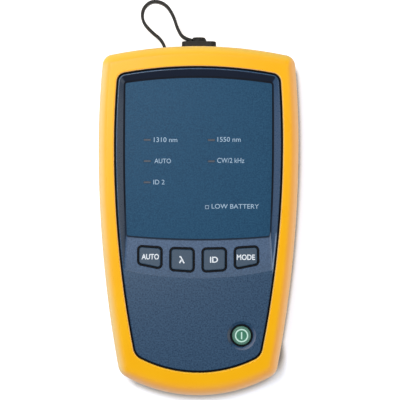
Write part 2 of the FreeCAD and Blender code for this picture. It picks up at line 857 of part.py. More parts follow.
def make_rear_case():
    """Deep tub with the battery bay, screw bosses, the port's wall and its ribs."""
    body = new_body("rear_case")
    inside_z = back_z + d.tray_wall
    pad(body, lambda plan: draw_egg(plan, case_outline), back_z, parting_z)
    cut(body, lambda plan: draw_egg(plan, case_cavity), inside_z, parting_z)
    half, wall = bay_half_width, d.bay_wall
    block = (-half - wall, half + wall, bay_low_y - wall, bay_high_y + wall)
    pad(body, lambda plan: rectangle(plan, *block), back_z, bay_top_z + wall)
    cut(body, lambda plan: rectangle(plan, -half, half, bay_low_y, bay_high_y), back_z, bay_top_z)

    tube = d.screw_head_radius + d.head_fit + d.counterbore_wall

    def rounds(plan, radius):
        for x, y in boss_places:
            circle(plan, x, y, radius)

    seat_z = back_z + d.screw_seat
    pad(body, lambda plan: rounds(plan, tube), inside_z, seat_z + d.counterbore_wall)
    pad(body, lambda plan: rounds(plan, d.boss_radius), seat_z, parting_z)
    cut(body, lambda plan: rounds(plan, d.screw_head_radius + d.head_fit), back_z, seat_z)
    cut(body, lambda plan: rounds(plan, d.screw_radius + d.screw_fit), seat_z, parting_z)

    wide, tall = d.adapter_width / 2 + d.adapter_fit, d.adapter_height / 2 + d.adapter_fit
    rib_y = flange_y - d.flange_thickness - d.flange_fit
    rib_high_z = d.port_z + d.flange_height / 2
    for sign in (-1, 1):
        ends = sorted((wide * sign, d.flange_width / 2 * sign), key=lambda size: size.value)

        def rib(plan, ends=ends):
            rectangle(plan, ends[0], ends[1], rib_y - d.rib_thickness, rib_y)

        pad(body, rib, inside_z, rib_high_z)

    def port_hole(plan):
        rectangle(plan, -wide, wide, d.port_z - tall, d.port_z + tall)

    slot_x = as_size(STRAP_ROUTE[-1][0])
    slot_half = d.strap_thickness / 2 + d.strap_slot_gap
    slot_tall = d.strap_width / 2 + d.strap_slot_gap

    def strap_slot(plan):
        rectangle(plan, slot_x - slot_half, slot_x + slot_half, d.port_z - slot_tall, d.port_z + slot_tall)

    through_y = inner_wall_y - d.case_wall
    cut(body, port_hole, flange_y, end_wall_y, "XZ_Plane")
    cut(body, strap_slot, through_y, end_wall_y, "XZ_Plane")

    pin_y, pin_z = bay_low_y + d.door_gap + d.pin_inset, back_z + d.pin_depth
    reach = half + d.pin_length - d.door_gap + d.pin_gap
    cut(body, lambda plan: circle(plan, pin_y, pin_z, d.pin_radius + d.pin_gap), -reach, reach, "YZ_Plane")


def make_face_label():
    """Thin sheet in the tray, with a window for each light guide."""
    body = new_body("face_label")
    high = floor_z + d.label_thickness
    pad(body, lambda plan: draw_egg(plan, label_outline), floor_z, high)

    def windows(plan):
        for x, y, length, width in guides:
            half, tall = length / 2 + d.guide_fit, width / 2 + d.guide_fit
            rectangle(plan, x - half, x + half, y - tall, y + tall)

    cut(body, windows, floor_z, high)


def make_light_guides():
    """Clear bars that carry the light of each indicator to the face of the label."""
    low = board_top_z + d.led_height + d.led_gap
    items = []
    for x, y, length, width in guides:
        half, tall = length / 2, width / 2
        items.append(box(x - half, x + half, y - tall, y + tall, low, floor_z + d.label_thickness))
    group(items, "light_guides")


def make_indicator_leds():
    """Surface-mounted lamps under the light guides."""
    items = []
    for x, y, _, _ in guides:
        half, tall = d.guide_length / 4, d.guide_width / 2
        items.append(box(x - half, x + half, y - tall, y + tall, board_top_z, board_top_z + d.led_height))
    group(items, "indicator_leds")


def make_key(label, index):
    """Key with rounded corners and a top that follows the sloping deck."""
    body = new_body(label)
    key_shape(pad, body, index, d.collar_wall + d.key_gap, key_low_z, d.thickness + d.tray_depth)
    row = d.key_pitch * 2
    cut(body, lambda plan: above_deck(plan, d.key_rise), -row, row, "YZ_Plane")
    fillet(body, [end_face(body.Shape, 2, 1)], d.key_edge_round)


def make_power_button():
    """Round button in its dished seat."""
    body = new_body("power_button")
    top = front_z - d.dimple_depth + d.power_rise
    pad(body, lambda plan: circle(plan, d.power_x, power_y, d.power_radius), key_low_z, top)
    fillet(body, [end_face(body.Shape, 2, 1)], d.power_edge_round)


def make_keypad_mat():
    """Silicone mat on the board with a collar round each key and round the power button."""
    body = new_body("keypad_mat")
    sheet_top = board_top_z + d.mat_thickness
    row_half = d.key_pitch * 1.5 + d.key_cell / 2 + d.mat_margin
    row_low = -d.key_row_bottom - d.mat_margin
    row_high = row_half * row_half / (d.key_row_top_radius * 2) - d.key_row_top + d.mat_margin
    collar = d.power_radius + d.key_gap + d.power_collar_wall
    tongue = collar + d.tongue_margin
    tongue_left, tongue_right = d.power_x - tongue, d.power_x + tongue
    outline = [
        (-row_half, row_low),
        (tongue_left, row_low),
        (tongue_left, power_y - tongue),
        (tongue_right, power_y - tongue),
        (tongue_right, row_low),
        (row_half, row_low),
        (row_half, row_high),
        (-row_half, row_high),
    ]
    pad(body, lambda plan: polygon(plan, outline), board_top_z, sheet_top)
    for index in range(4):
        key_shape(pad, body, index, ZERO, sheet_top, d.thickness + d.tray_depth)
    row = d.key_pitch * 3
    cut(body, lambda plan: above_deck(plan, d.collar_rise), -row, row, "YZ_Plane")
    for index in range(4):
        key_shape(cut, body, index, d.collar_wall, board_top_z, d.thickness)
    collar_top = front_z - d.dimple_depth
    pad(body, lambda plan: circle(plan, d.power_x, power_y, collar), sheet_top, collar_top)
    hole = d.power_radius + d.key_gap
    cut(body, lambda plan: circle(plan, d.power_x, power_y, hole), board_top_z, collar_top)


def make_key_switches():
    """Dome switches on the board, one under each key and the power button."""
    centre_y = -(d.key_row_top + d.key_row_bottom) / 2
    places = [(d.key_pitch * (index - 1.5), centre_y) for index in range(4)]
    places.append((d.power_x, power_y))
    tip = d.switch_radius / 2
    items = [cone(x, y, board_top_z, d.switch_radius, tip, d.switch_height) for x, y in places]
    group(items, "key_switches")


def make_main_board():
    """Circuit board screwed under the posts of the face moulding."""
    body = new_body("main_board")
    wide, narrow = board_half_width, board_low_half_width
    outline = [
        (-narrow, board_low_y),
        (narrow, board_low_y),
        (wide, board_knee_y),
        (wide, board_top_y),
        (-wide, board_top_y),
        (-wide, board_knee_y),
    ]
    pad(body, lambda plan: rounded_polygon(plan, outline, d.board_corner), board_low_z, board_top_z)

    def holes(plan):
        for x, y in post_places:
            circle(plan, x, y, d.screw_radius + d.screw_fit)

    cut(body, holes, board_low_z, board_top_z)


def make_screws(label, places, seat_z, tip_z):
    """Pan-head screws driven upwards, with their heads under the seat."""
    items = []
    for x, y in places:
        head = cylinder(x, y, seat_z - d.screw_head_height, d.screw_head_radius, d.screw_head_height)
        shank = cylinder(x, y, seat_z, d.screw_radius, tip_z - seat_z)
        items.append(joined([head, shank]))
    group(items, label)


def make_output_adapter():
    """Push-pull fibre receptacle: square nose, flange, socket and the holder of its sleeve."""
    body = new_body("output_adapter")
    wide, tall = d.adapter_width / 2, d.adapter_height / 2

    def block(plan, half, high, radius=None):
        rectangle(plan, -half, half, d.port_z - high, d.port_z + high, radius)

    def disc(plan, radius):
        circle(plan, ZERO, d.port_z, radius)

    pad(body, lambda plan: block(plan, wide, tall, d.adapter_corner), adapter_rear_y, nose_y, "XZ_Plane")
    ears, ear_high = d.flange_width / 2, d.flange_height / 2
    ears_low_y = flange_y - d.flange_thickness
    pad(body, lambda plan: block(plan, ears, ear_high), ears_low_y, flange_y, "XZ_Plane")
    socket_wide, socket_tall = d.socket_width / 2, d.socket_height / 2
    cut(body, lambda plan: block(plan, socket_wide, socket_tall), socket_floor_y, nose_y, "XZ_Plane")
    key_half, key_low = d.keyway_width / 2, d.port_z + socket_tall - d.keyway_height

    def keyway(plan):
        rectangle(plan, -key_half, key_half, key_low, key_low + d.keyway_height * 2)

    cut(body, keyway, nose_y - d.keyway_depth, nose_y, "XZ_Plane")
    pad(body, lambda plan: disc(plan, d.holder_radius), socket_floor_y, holder_y, "XZ_Plane")
    barrel_y = adapter_rear_y - d.barrel_length
    pad(body, lambda plan: disc(plan, d.barrel_radius), barrel_y, adapter_rear_y, "XZ_Plane")
    sleeve_y = holder_y - d.sleeve_length
    cut(body, lambda plan: disc(plan, d.sleeve_radius + d.sleeve_fit), sleeve_y, holder_y, "XZ_Plane")
    lead_hole = d.lead_radius + d.lead_end_gap
    cut(body, lambda plan: disc(plan, lead_hole), barrel_y, sleeve_y, "XZ_Plane")


def make_ferrule_sleeve():
    """Ceramic sleeve that lines the two ferrules up."""
    body = new_body("ferrule_sleeve")
    low = holder_y - d.sleeve_length
    pad(body, lambda plan: circle(plan, ZERO, d.port_z, d.sleeve_radius), low, holder_y, "XZ_Plane")
    cut(body, lambda plan: circle(plan, ZERO, d.port_z, d.ferrule_radius), low, holder_y, "XZ_Plane")


def make_dust_cap():
    """Rubber cap over the nose of the receptacle, with a mushroom nub for the strap."""
    body = new_body("dust_cap")
    inner_wide = d.adapter_width / 2 + d.cap_clearance
    inner_tall = d.adapter_height / 2 + d.cap_clearance

    def block(plan, wide, tall, radius):
        rectangle(plan, -wide, wide, d.port_z - tall, d.port_z + tall, radius)

    def disc(plan, radius):
        circle(plan, ZERO, d.port_z, radius)

    wide, tall = inner_wide + d.cap_wall, inner_tall + d.cap_wall
    pad(body, lambda plan: block(plan, wide, tall, d.cap_corner), cap_back_y, cap_front_y, "XZ_Plane")
    fillet(body, [end_face(body.Shape, 1, 1)], d.cap_edge_round)

    def hollow(plan):
        block(plan, inner_wide, inner_tall, d.adapter_corner)

    cut(body, hollow, cap_back_y, cap_inner_y, "XZ_Plane")
    pad(body, lambda plan: disc(plan, d.neck_radius), cap_front_y, neck_y, "XZ_Plane")
    pad(body, lambda plan: disc(plan, d.nub_radius), neck_y, neck_y + d.nub_height, "XZ_Plane")
    fillet(body, [end_face(body.Shape, 1, 1)], d.nub_edge_round)


def rounded_path(points):
    """Straight runs joined by tangent arcs as large as the runs allow."""
    edges, radii, here = [], [], points[0]
    for before, corner, after in zip(points, points[1:], points[2:]):
        back, ahead = (before - corner), (after - corner)
        reach = ARC_SHARE * min(back.Length, ahead.Length)
        back.normalize()
        ahead.normalize()
        half_turn = (math.pi - back.getAngle(ahead)) / 2
        radius = reach / math.tan(half_turn)
        bisector = back + ahead
        bisector.normalize()
        middle = corner + bisector * (radius / math.cos(half_turn) - radius)
        first, last = corner + back * reach, corner + ahead * reach
        edges.append(Part.LineSegment(here, first).toShape())
        edges.append(Part.Arc(first, middle, last).toShape())
        radii.append(round(radius, 1))
        here = last
    edges.append(Part.LineSegment(here, points[-1]).toShape())
    return Part.Wire(edges), radii


def swept(label, points, section):
    """A constant section carried along a rounded path, as one solid."""
    path, radii = rounded_path(points)
    solid = path.makePipeShell([section], True, False)
    print(f"{label}: length {path.Length:.1f}, volume {solid.Volume:.1f}, radii {radii}")
    return solid, path.Length


def make_cap_strap():
    """Flat strap on edge: an eyelet round the nub, a free loop and a head behind the end wall."""
    half_thick, half_wide = d.strap_thickness.value / 2, d.strap_width.value / 2
    level = d.port_z.value
    points = [FreeCAD.Vector(x, y, level) for x, y in STRAP_ROUTE]
    start = points[0]
    along = points[1] - start
    along.normalize()
    across = FreeCAD.Vector(-along.y, along.x, 0) * half_thick
    up = FreeCAD.Vector(0, 0, half_wide)
    corners = [start + across + up, start - across + up, start - across - up, start + across - up]
    section = Part.makePolygon([*corners, corners[0]])
    strip, length = swept("cap_strap", points, section)
    print(f"cap_strap: section times length {d.strap_thickness.value * d.strap_width.value * length:.1f}")
    ring_y = cap_front_y.value + d.strap_slack.value
    ring_depth = d.strap_thickness.value
    hole = d.neck_radius.value + d.eyelet_gap.value
    back = FreeCAD.Vector(0, ring_y, level)
    port_axis = FreeCAD.Vector(0, 1, 0)
    ring = Part.makeCylinder(hole + d.eyelet_wall.value, ring_depth, back, port_axis)
    bore = Part.makeCylinder(hole, ring_depth, back, port_axis)
    end = points[-1]
    head_wide, head_long = d.strap_head_width.value, d.strap_head_length.value
    corner = FreeCAD.Vector(end.x - head_wide / 2, end.y - head_long, level - half_wide)
    head = Part.makeBox(head_wide, head_long, d.strap_width.value, corner)
    item = document.addObject("Part::Feature", "cap_strap")
    item.Shape = strip.fuse([ring, head]).cut(bore).removeSplitter()
    item.Placement = FreeCAD.Placement()
    item.Label = "cap_strap"
    sub_parts.append(item)


def make_battery_door():
    """Door in the mouth of the bay, on two pins at its lower end, with a thumb scoop."""
    body = new_body("battery_door")
    half = bay_half_width - d.door_gap
    low_y, high_y = bay_low_y + d.door_gap, bay_high_y - d.door_gap
    pad(body, lambda plan: rectangle(plan, -half, half, low_y, high_y), back_z, door_top_z)
    fillet(body, edges_at_level(body.Shape, back_z), d.door_edge_round)
    pin_y, pin_z = low_y + d.pin_inset, back_z + d.pin_depth
    reach = half + d.pin_length
    pad(body, lambda plan: circle(plan, pin_y, pin_z, d.pin_radius), -reach, reach, "YZ_Plane")
    scoop_y = high_y - d.scoop_reach + d.scoop_radius
    scoop_z = back_z + d.scoop_depth
    cut(body, lambda plan: circle(plan, ZERO, scoop_y, d.scoop_radius), back_z, scoop_z)


def make_cells():
    """Two cells side by side, one turned end for end."""
    radius = d.cell_diameter / 2
    up_y, down_y = cell_low_y + d.cell_length, cell_low_y + d.cell_nub_length
    left = cylinder(-cell_x, cell_low_y, cell_z, radius, d.cell_length, Y_UP)
    left_nub = cylinder(-cell_x, up_y, cell_z, d.cell_nub_radius, d.cell_nub_length, Y_UP)
    joined([left, left_nub], "battery_cell_left")
    right = cylinder(cell_x, down_y, cell_z, radius, d.cell_length, Y_UP)
    right_nub = cylinder(cell_x, cell_low_y, cell_z, d.cell_nub_radius, d.cell_nub_length, Y_UP)
    joined([right, right_nub], "battery_cell_right")


def make_contacts():
    """Bridge contact at the low end, and the two terminal contacts at the other."""
    low_z, high_z = cell_z - d.contact_half_width, cell_z + d.contact_half_width
    tip_length = d.contact_room - d.contact_plate - d.contact_gap
    base, tip = d.contact_base_radius, d.contact_tip_radius
    plate_y = bay_low_y + d.contact_plate
    span = cell_x + d.contact_half_width
    bridge = [box(-span, span, bay_low_y, plate_y, low_z, high_z)]
    bridge += [cone(x, plate_y, cell_z, base, tip, tip_length, Y_UP) for x in (-cell_x, cell_x)]
    joined(bridge, "bridge_contact")
    far_y = bay_high_y - d.contact_plate
    terminals = []
    for x in (-cell_x, cell_x):
        plate = box(x - d.contact_half_width, x + d.contact_half_width, far_y, bay_high_y, low_z, high_z)
        spring = cone(x, far_y, cell_z, base, tip, tip_length, Y_DOWN)
        terminals.append(joined([plate, spring]))
    group(terminals, "terminal_contacts")


def make_laser(label, sign):
    """Coaxial laser module clipped under the board, with its fibre ferrule pointing down the case."""
    x = laser_x * sign
    can = cylinder(x, laser_low_y, lead_z, d.laser_radius, d.laser_length, Y_UP)
    ferrule_y = laser_low_y - d.laser_ferrule_length
    ferrule = cylinder(x, ferrule_y, lead_z, d.laser_ferrule_radius, d.laser_ferrule_length, Y_UP)
    joined([can, ferrule], label)


def make_wavelength_coupler():
    """Module that joins the light of both lasers."""
    body = new_body("wavelength_coupler")
    half = d.coupler_width / 2
    low_z, high_z = lead_z - d.laser_radius, lead_z + d.laser_radius

    def section(plan):
        rectangle(plan, -half, half, low_z, high_z, d.coupler_corner)

    pad(body, section, coupler_low_y, coupler_high_y, "XZ_Plane")


def lead_solid(label, path):
    """Buffered fibre along a path."""
    start, direction = path.Edges[0].valueAt(path.Edges[0].FirstParameter), path.Edges[0].tangentAt(0)
    rim = Part.Wire(Part.makeCircle(d.lead_radius.value, start, direction))
    solid = path.makePipeShell([rim], True, False)
    item = document.addObject("Part::Feature", label)
    item.Shape = solid
    item.Placement = FreeCAD.Placement()
    item.Label = label
    sub_parts.append(item)
    section = math.pi * d.lead_radius.value ** 2
    print(f"{label}: volume {solid.Volume:.2f}, section times length {section * path.Length:.2f}")


def make_laser_lead(label, sign):
    """Fibre from a laser module down, round a half turn and up into the coupler."""
    gap = d.lead_end_gap.value
    outer, inner = laser_x.value * sign, d.coupler_input_x.value * sign
    level, turn_y = lead_z.value, (coupler_low_y - d.lead_turn_gap).value
    first = FreeCAD.Vector(outer, (laser_low_y - d.laser_ferrule_length).value - gap, level)
    second = FreeCAD.Vector(outer, turn_y, level)
    third = FreeCAD.Vector(inner, turn_y, level)
    last = FreeCAD.Vector(inner, coupler_low_y.value - gap, level)
    low = FreeCAD.Vector((outer + inner) / 2, turn_y - abs(outer - inner) / 2, level)
    edges = [
        Part.LineSegment(first, second).toShape(),
        Part.Arc(second, low, third).toShape(),
        Part.LineSegment(third, last).toShape(),
    ]
    lead_solid(label, Part.Wire(edges))


def make_output_lead():
    """Fibre from the coupler to the back of the receptacle."""
    gap = d.lead_end_gap.value
    low_y, high_y = coupler_high_y.value + gap, (adapter_rear_y - d.barrel_length).value - gap
    third = (high_y - low_y) / 3
    points = [
        FreeCAD.Vector(0, low_y, lead_z.value),
        FreeCAD.Vector(0, low_y + third, lead_z.value),
        FreeCAD.Vector(0, high_y - third, d.port_z.value),
        FreeCAD.Vector(0, high_y, d.port_z.value),
    ]
    path, radii = rounded_path(points)
    print(f"output_lead: radii {radii}")
    lead_solid("output_lead", path)


make_rubber_boot()
make_front_case()
make_rear_case()
make_face_label()
make_light_guides()
make_indicator_leds()
for key_index, key_label in enumerate(("key_auto", "key_wavelength", "key_id", "key_mode")):
    make_key(key_label, key_index)
make_power_button()
make_keypad_mat()
make_key_switches()
make_main_board()
make_screws("case_screws", boss_places, back_z + d.screw_seat, parting_z + d.screw_grip)
make_screws("board_screws", post_places, board_low_z, board_top_z + d.board_screw_grip - d.screw_fit)
make_output_adapter()
make_ferrule_sleeve()
make_dust_cap()
make_cap_strap()
make_battery_door()
make_cells()
make_contacts()
make_laser("laser_module_left", -1)
make_laser("laser_module_right", 1)
make_wavelength_coupler()
make_laser_lead("laser_lead_left", -1)
make_laser_lead("laser_lead_right", 1)
make_output_lead()
document.recompute()

for item in document.Objects:
    if "Invalid" in item.State or "Error" in item.State:
        raise ValueError(f"{item.Name} ({item.TypeId}) failed: {item.State}")
for item in sub_parts:
    if item.Shape.isNull() or not item.Shape.isValid():
        raise ValueError(f"{item.Label} has no valid shape")

os.makedirs("parts", exist_ok=True)
for item in sub_parts:
    item.Shape.exportStep(f"parts/{item.Label}.step")
    print(f"{item.Label}: {len(item.Shape.Solids)} solid(s), {item.Shape.Volume:.1f} mm3")
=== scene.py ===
import math

import bmesh
import bpy
from mathutils import Matrix, Vector
from mathutils.bvhtree import BVHTree


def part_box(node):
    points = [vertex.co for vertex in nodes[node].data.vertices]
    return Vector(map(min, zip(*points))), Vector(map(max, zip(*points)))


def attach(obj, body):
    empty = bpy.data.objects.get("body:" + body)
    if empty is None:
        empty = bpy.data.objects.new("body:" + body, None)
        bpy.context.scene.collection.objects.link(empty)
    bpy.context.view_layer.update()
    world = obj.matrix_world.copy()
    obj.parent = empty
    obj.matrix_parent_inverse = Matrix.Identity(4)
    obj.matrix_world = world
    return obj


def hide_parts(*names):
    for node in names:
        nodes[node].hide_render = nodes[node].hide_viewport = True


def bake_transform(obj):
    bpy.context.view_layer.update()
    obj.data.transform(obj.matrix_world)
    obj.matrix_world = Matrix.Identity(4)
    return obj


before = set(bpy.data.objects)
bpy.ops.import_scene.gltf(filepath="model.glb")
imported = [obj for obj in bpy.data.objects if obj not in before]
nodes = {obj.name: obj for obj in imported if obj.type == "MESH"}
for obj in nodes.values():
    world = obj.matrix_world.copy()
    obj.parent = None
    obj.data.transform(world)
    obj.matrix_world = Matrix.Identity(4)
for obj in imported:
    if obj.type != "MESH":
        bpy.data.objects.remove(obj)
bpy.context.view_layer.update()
MM = 0.001
UP = Vector((0, 0, 1))

# Dust cap strap: the route of its middle line in plan, from the cap's nub to the end wall, in metres.
STRAP_ROUTE = (
    (-0.0032, 0.08575),
    (-0.0074, 0.0866),
    (-0.0102, 0.0910),
    (-0.0122, 0.0976),
    (-0.0159, 0.1032),
    (-0.0223, 0.1049),
    (-0.0270, 0.1009),
    (-0.0271, 0.0948),
    (-0.0229, 0.0899),
    (-0.0174, 0.0856),
    (-0.0155, 0.0796),
    (-0.0154, 0.0749),
)
STRAP_LEVEL = 18.5 * MM
STRAP_WIDTH = 5.0 * MM
STRAP_THICKNESS = 1.4 * MM
STRAP_EDGE = 0.25 * MM
EYELET_INNER = 2.6 * MM
EYELET_OUTER = 3.5 * MM
EYELET_FROM = 85.05 * MM
EYELET_STEPS = 48
STRAP_HEAD_WIDTH = 3.6 * MM
STRAP_HEAD_DEPTH = 1.2 * MM

# Legends on the label in millimetres: the words, their middle in plan, their width and their height.
LABEL_LEGENDS = (
    ("1310 nm", -15.4, 37.7, 10.9, 2.2),
    ("AUTO", -16.7, 27.8, 7.7, 2.15),
    ("ID 2", -18.4, 17.95, 5.2, 2.15),
    ("1550 nm", 14.2, 37.95, 10.8, 2.2),
    ("CW/2 kHz", 15.0, 28.15, 12.6, 2.3),
    ("LOW BATTERY", 17.2, 6.75, 22.0, 2.15),
)
# Small square frame before the last legend: its middle in plan, and half its outer and inner width.
BATTERY_MARK = (4.05 * MM, 6.35 * MM)
BATTERY_MARK_HALVES = (0.85 * MM, 0.66 * MM)

# Legends on the keys: node, body, words or None for the wavelength sign, and the same sizes as above.
KEY_LEGENDS = (
    ("key_auto", "auto_key", "AUTO", (-22.3, -16.8, 8.1, 2.6)),
    ("key_wavelength", "wavelength_key", None, (-7.55, -18.2, 2.5, 3.1)),
    ("key_id", "id_key", "ID", (7.36, -18.1, 3.7, 2.8)),
    ("key_mode", "mode_key", "MODE", (22.2, -16.9, 8.5, 2.6)),
)
KEY_BOLDNESS = 0.022
# Wavelength sign in a box of one unit: its strokes as lines of points, and their width.
WAVE_STROKES = (
    ((-0.46, 0.47), (-0.30, 0.47), (-0.17, 0.36), (0.31, -0.40), (0.46, -0.46)),
    ((-0.02, 0.10), (-0.44, -0.48)),
)
WAVE_STROKE = 0.23

# Power sign: the outer and inner radius of its ring, the ring's steps, and the width and height of its bar.
POWER_RING = (3.1 * MM, 2.5 * MM)
POWER_RING_STEPS = 64
POWER_BAR = (0.6 * MM, 3.3 * MM)
INK_THICKNESS = 0.03 * MM
KEY_INK_THICKNESS = 0.04 * MM

# Grip ribs on the battery door: how many, their size and pitch, and the first one's place from the free end.
RIBS = 6
RIB_SIZE = (16.0 * MM, 0.8 * MM, 0.6 * MM)
RIB_ROUND = 0.25 * MM
RIB_PITCH = 1.6 * MM
RIB_FROM = 6.4 * MM

# Cross recess of the case screws and the softness of its edge, the middles of the right-hand screws at the
# near and the far end, and where the two ends part.
RECESS_HALF_WIDTH = 0.38 * MM
RECESS_REACH = 1.45 * MM
RECESS_SOFT = 0.05 * MM
SCREWS = ((27.31 * MM, -62.3 * MM), (34.67 * MM, 66.0 * MM))
SCREW_ENDS_PART = (-1 * MM, 1 * MM)

# Where tones change, as pairs: a mask is 0 at the first place and 1 at the second.
# On the boot: where its lower lip begins and how far the lip's tone reaches before and on it, its seam, and
# faces that look out from the middle or in.
LOWER_LIP = (-62 * MM, -74 * MM)
LIP_REACH = (3.6 * MM, 5.2 * MM)
SEAM_LEVEL = 19 * MM
SEAM_SIDE = (0.22 * MM, 0.1 * MM)
LOOKING_OUT = (0.0, 4 * MM)
LOOKING_IN = (-4 * MM, -12 * MM)
# On the case, by height: the gutter round the label, the foot of the tray's bevels, and the key wells.
GUTTER_FLOOR = (34.5 * MM, 34.7 * MM)
GUTTER_BRIM = (34.9 * MM, 34.83 * MM)
BEVEL_FOOT = (35.3 * MM, 35.15 * MM)
ABOVE_GUTTER = (35.0 * MM, 35.1 * MM)
WELL_LEDGE = (35.4 * MM, 35.3 * MM)
# On the case, along its length: the bevel at the far end, the deck's lower edge, and the gutter's dark part.
FAR_BEVEL = (40 * MM, 42 * MM)
DECK_FADE = (-26 * MM, -14 * MM)
GUTTER_DARKENS = (0.0, 8 * MM)
# On the case: the painted highlight on the crease right of the keys, and the painted highlight on the rim of
# the power button's dish by its radius.
CREASE_WIDTH = 0.7 * MM
CREASE_SIDE = (30 * MM, 31 * MM)
CREASE_LOWER = (-25 * MM, -23 * MM)
CREASE_UPPER = (-5 * MM, -7 * MM)
DISH_INNER = (5.6 * MM, 6.2 * MM)
DISH_OUTER = (9.5 * MM, 8.5 * MM)
# On the door's thumb scoop by depth, on the power button by radius, and on the lowest light guide.
SCOOP_DEPTH = (0.5 * MM, 0.9 * MM)
BUTTON_RIM = (2.7 * MM, 3.3 * MM)
LOW_GUIDE = (12.2 * MM, 11.8 * MM)
# On the cells: where the sleeve's second band begins, from the lower end.
SLEEVE_BAND = (18 * MM, 18.2 * MM)

# Floor: its gap under the object, half its width, and its two close tones.
FLOOR_GAP = 0.1 * MM
FLOOR_HALF = 3.0
PAPER_TONES = ((0.71, 0.71, 0.72, 1), (0.73, 0.73, 0.74, 1))
# Floor away from the light: right of the boot up to its top corner, and below it from its left corner on.
LEE_RIGHT = (30 * MM, 36 * MM)
LEE_TOP = (78 * MM, 72 * MM)
LEE_LOWER = (-62 * MM, -72 * MM)
LEE_LEFT = (-38 * MM, -30 * MM)
# Contact shadow there: its reach beside and below the boot, the openness that it goes by, and its depth.
CONTACT_TURN = (-60 * MM, -73 * MM)
CONTACT_REACH = (5.55 * MM, 10.5 * MM)
CONTACT_OPENNESS = (0.94, 0.76)
CONTACT_DEPTH = 0.82
# Glow of the floor to the camera by distance, and its colours: by the boot, past its top and in the shadow.
GLOW_DISTANCE = (0.12, 0.8)
GLOW_STRENGTH = (0.55, 0.9)
GLOW_BY_BOOT = (0.98, 1.1, 1.3, 1)
GLOW_PAST_TOP = (1, 1, 1, 1)
GLOW_IN_SHADOW = (1.0, 0.93, 0.86, 1)
PAST_TOP = (60 * MM, 85 * MM)

# Lamps: name, direction from their target, distance, width, and share of full white on a level surface.
LAMPS = (
    ("key_lamp", (-0.6, 0.8, 1.0), 0.33, 0.22, 0.2),
    ("top_lamp", (-0.14, 0.14, 1.0), 1.0, 0.13, 0.33),
    ("left_softbox", (-1.0, 0.2, 0.35), 0.45, 0.35, 0.05),
    ("right_card", (1.0, -0.2, 0.35), 0.7, 0.5, 0.07),
    ("under_lamp", (0.1, -0.1, -1.0), 0.9, 0.8, 0.9),
)
LAMP_TARGET = Vector((0, 0.01, 0.03))
WORLD_LIGHT = 0.42
WORLD_SEEN = 1.0

# Camera straight above the face, set so that the width of the picture is VIEW_WIDTH at FACE_LEVEL.
CAMERA_HEIGHT = 0.70
CAMERA_X = 0.75 * MM
CAMERA_Y = 9.65 * MM
CAMERA_ROLL = 0.2
FACE_LEVEL = 34.0 * MM
VIEW_WIDTH = 186.8 * MM
SENSOR = 36.0
CLIP_START = 0.01


def paint(red, green, blue):
    """A linear colour from the usual 0 to 255 values."""
    linear = []
    for level in (red, green, blue):
        share = level / 255
        linear.append(share / 12.92 if share <= 0.04045 else ((share + 0.055) / 1.055) ** 2.4)
    return (*linear, 1.0)


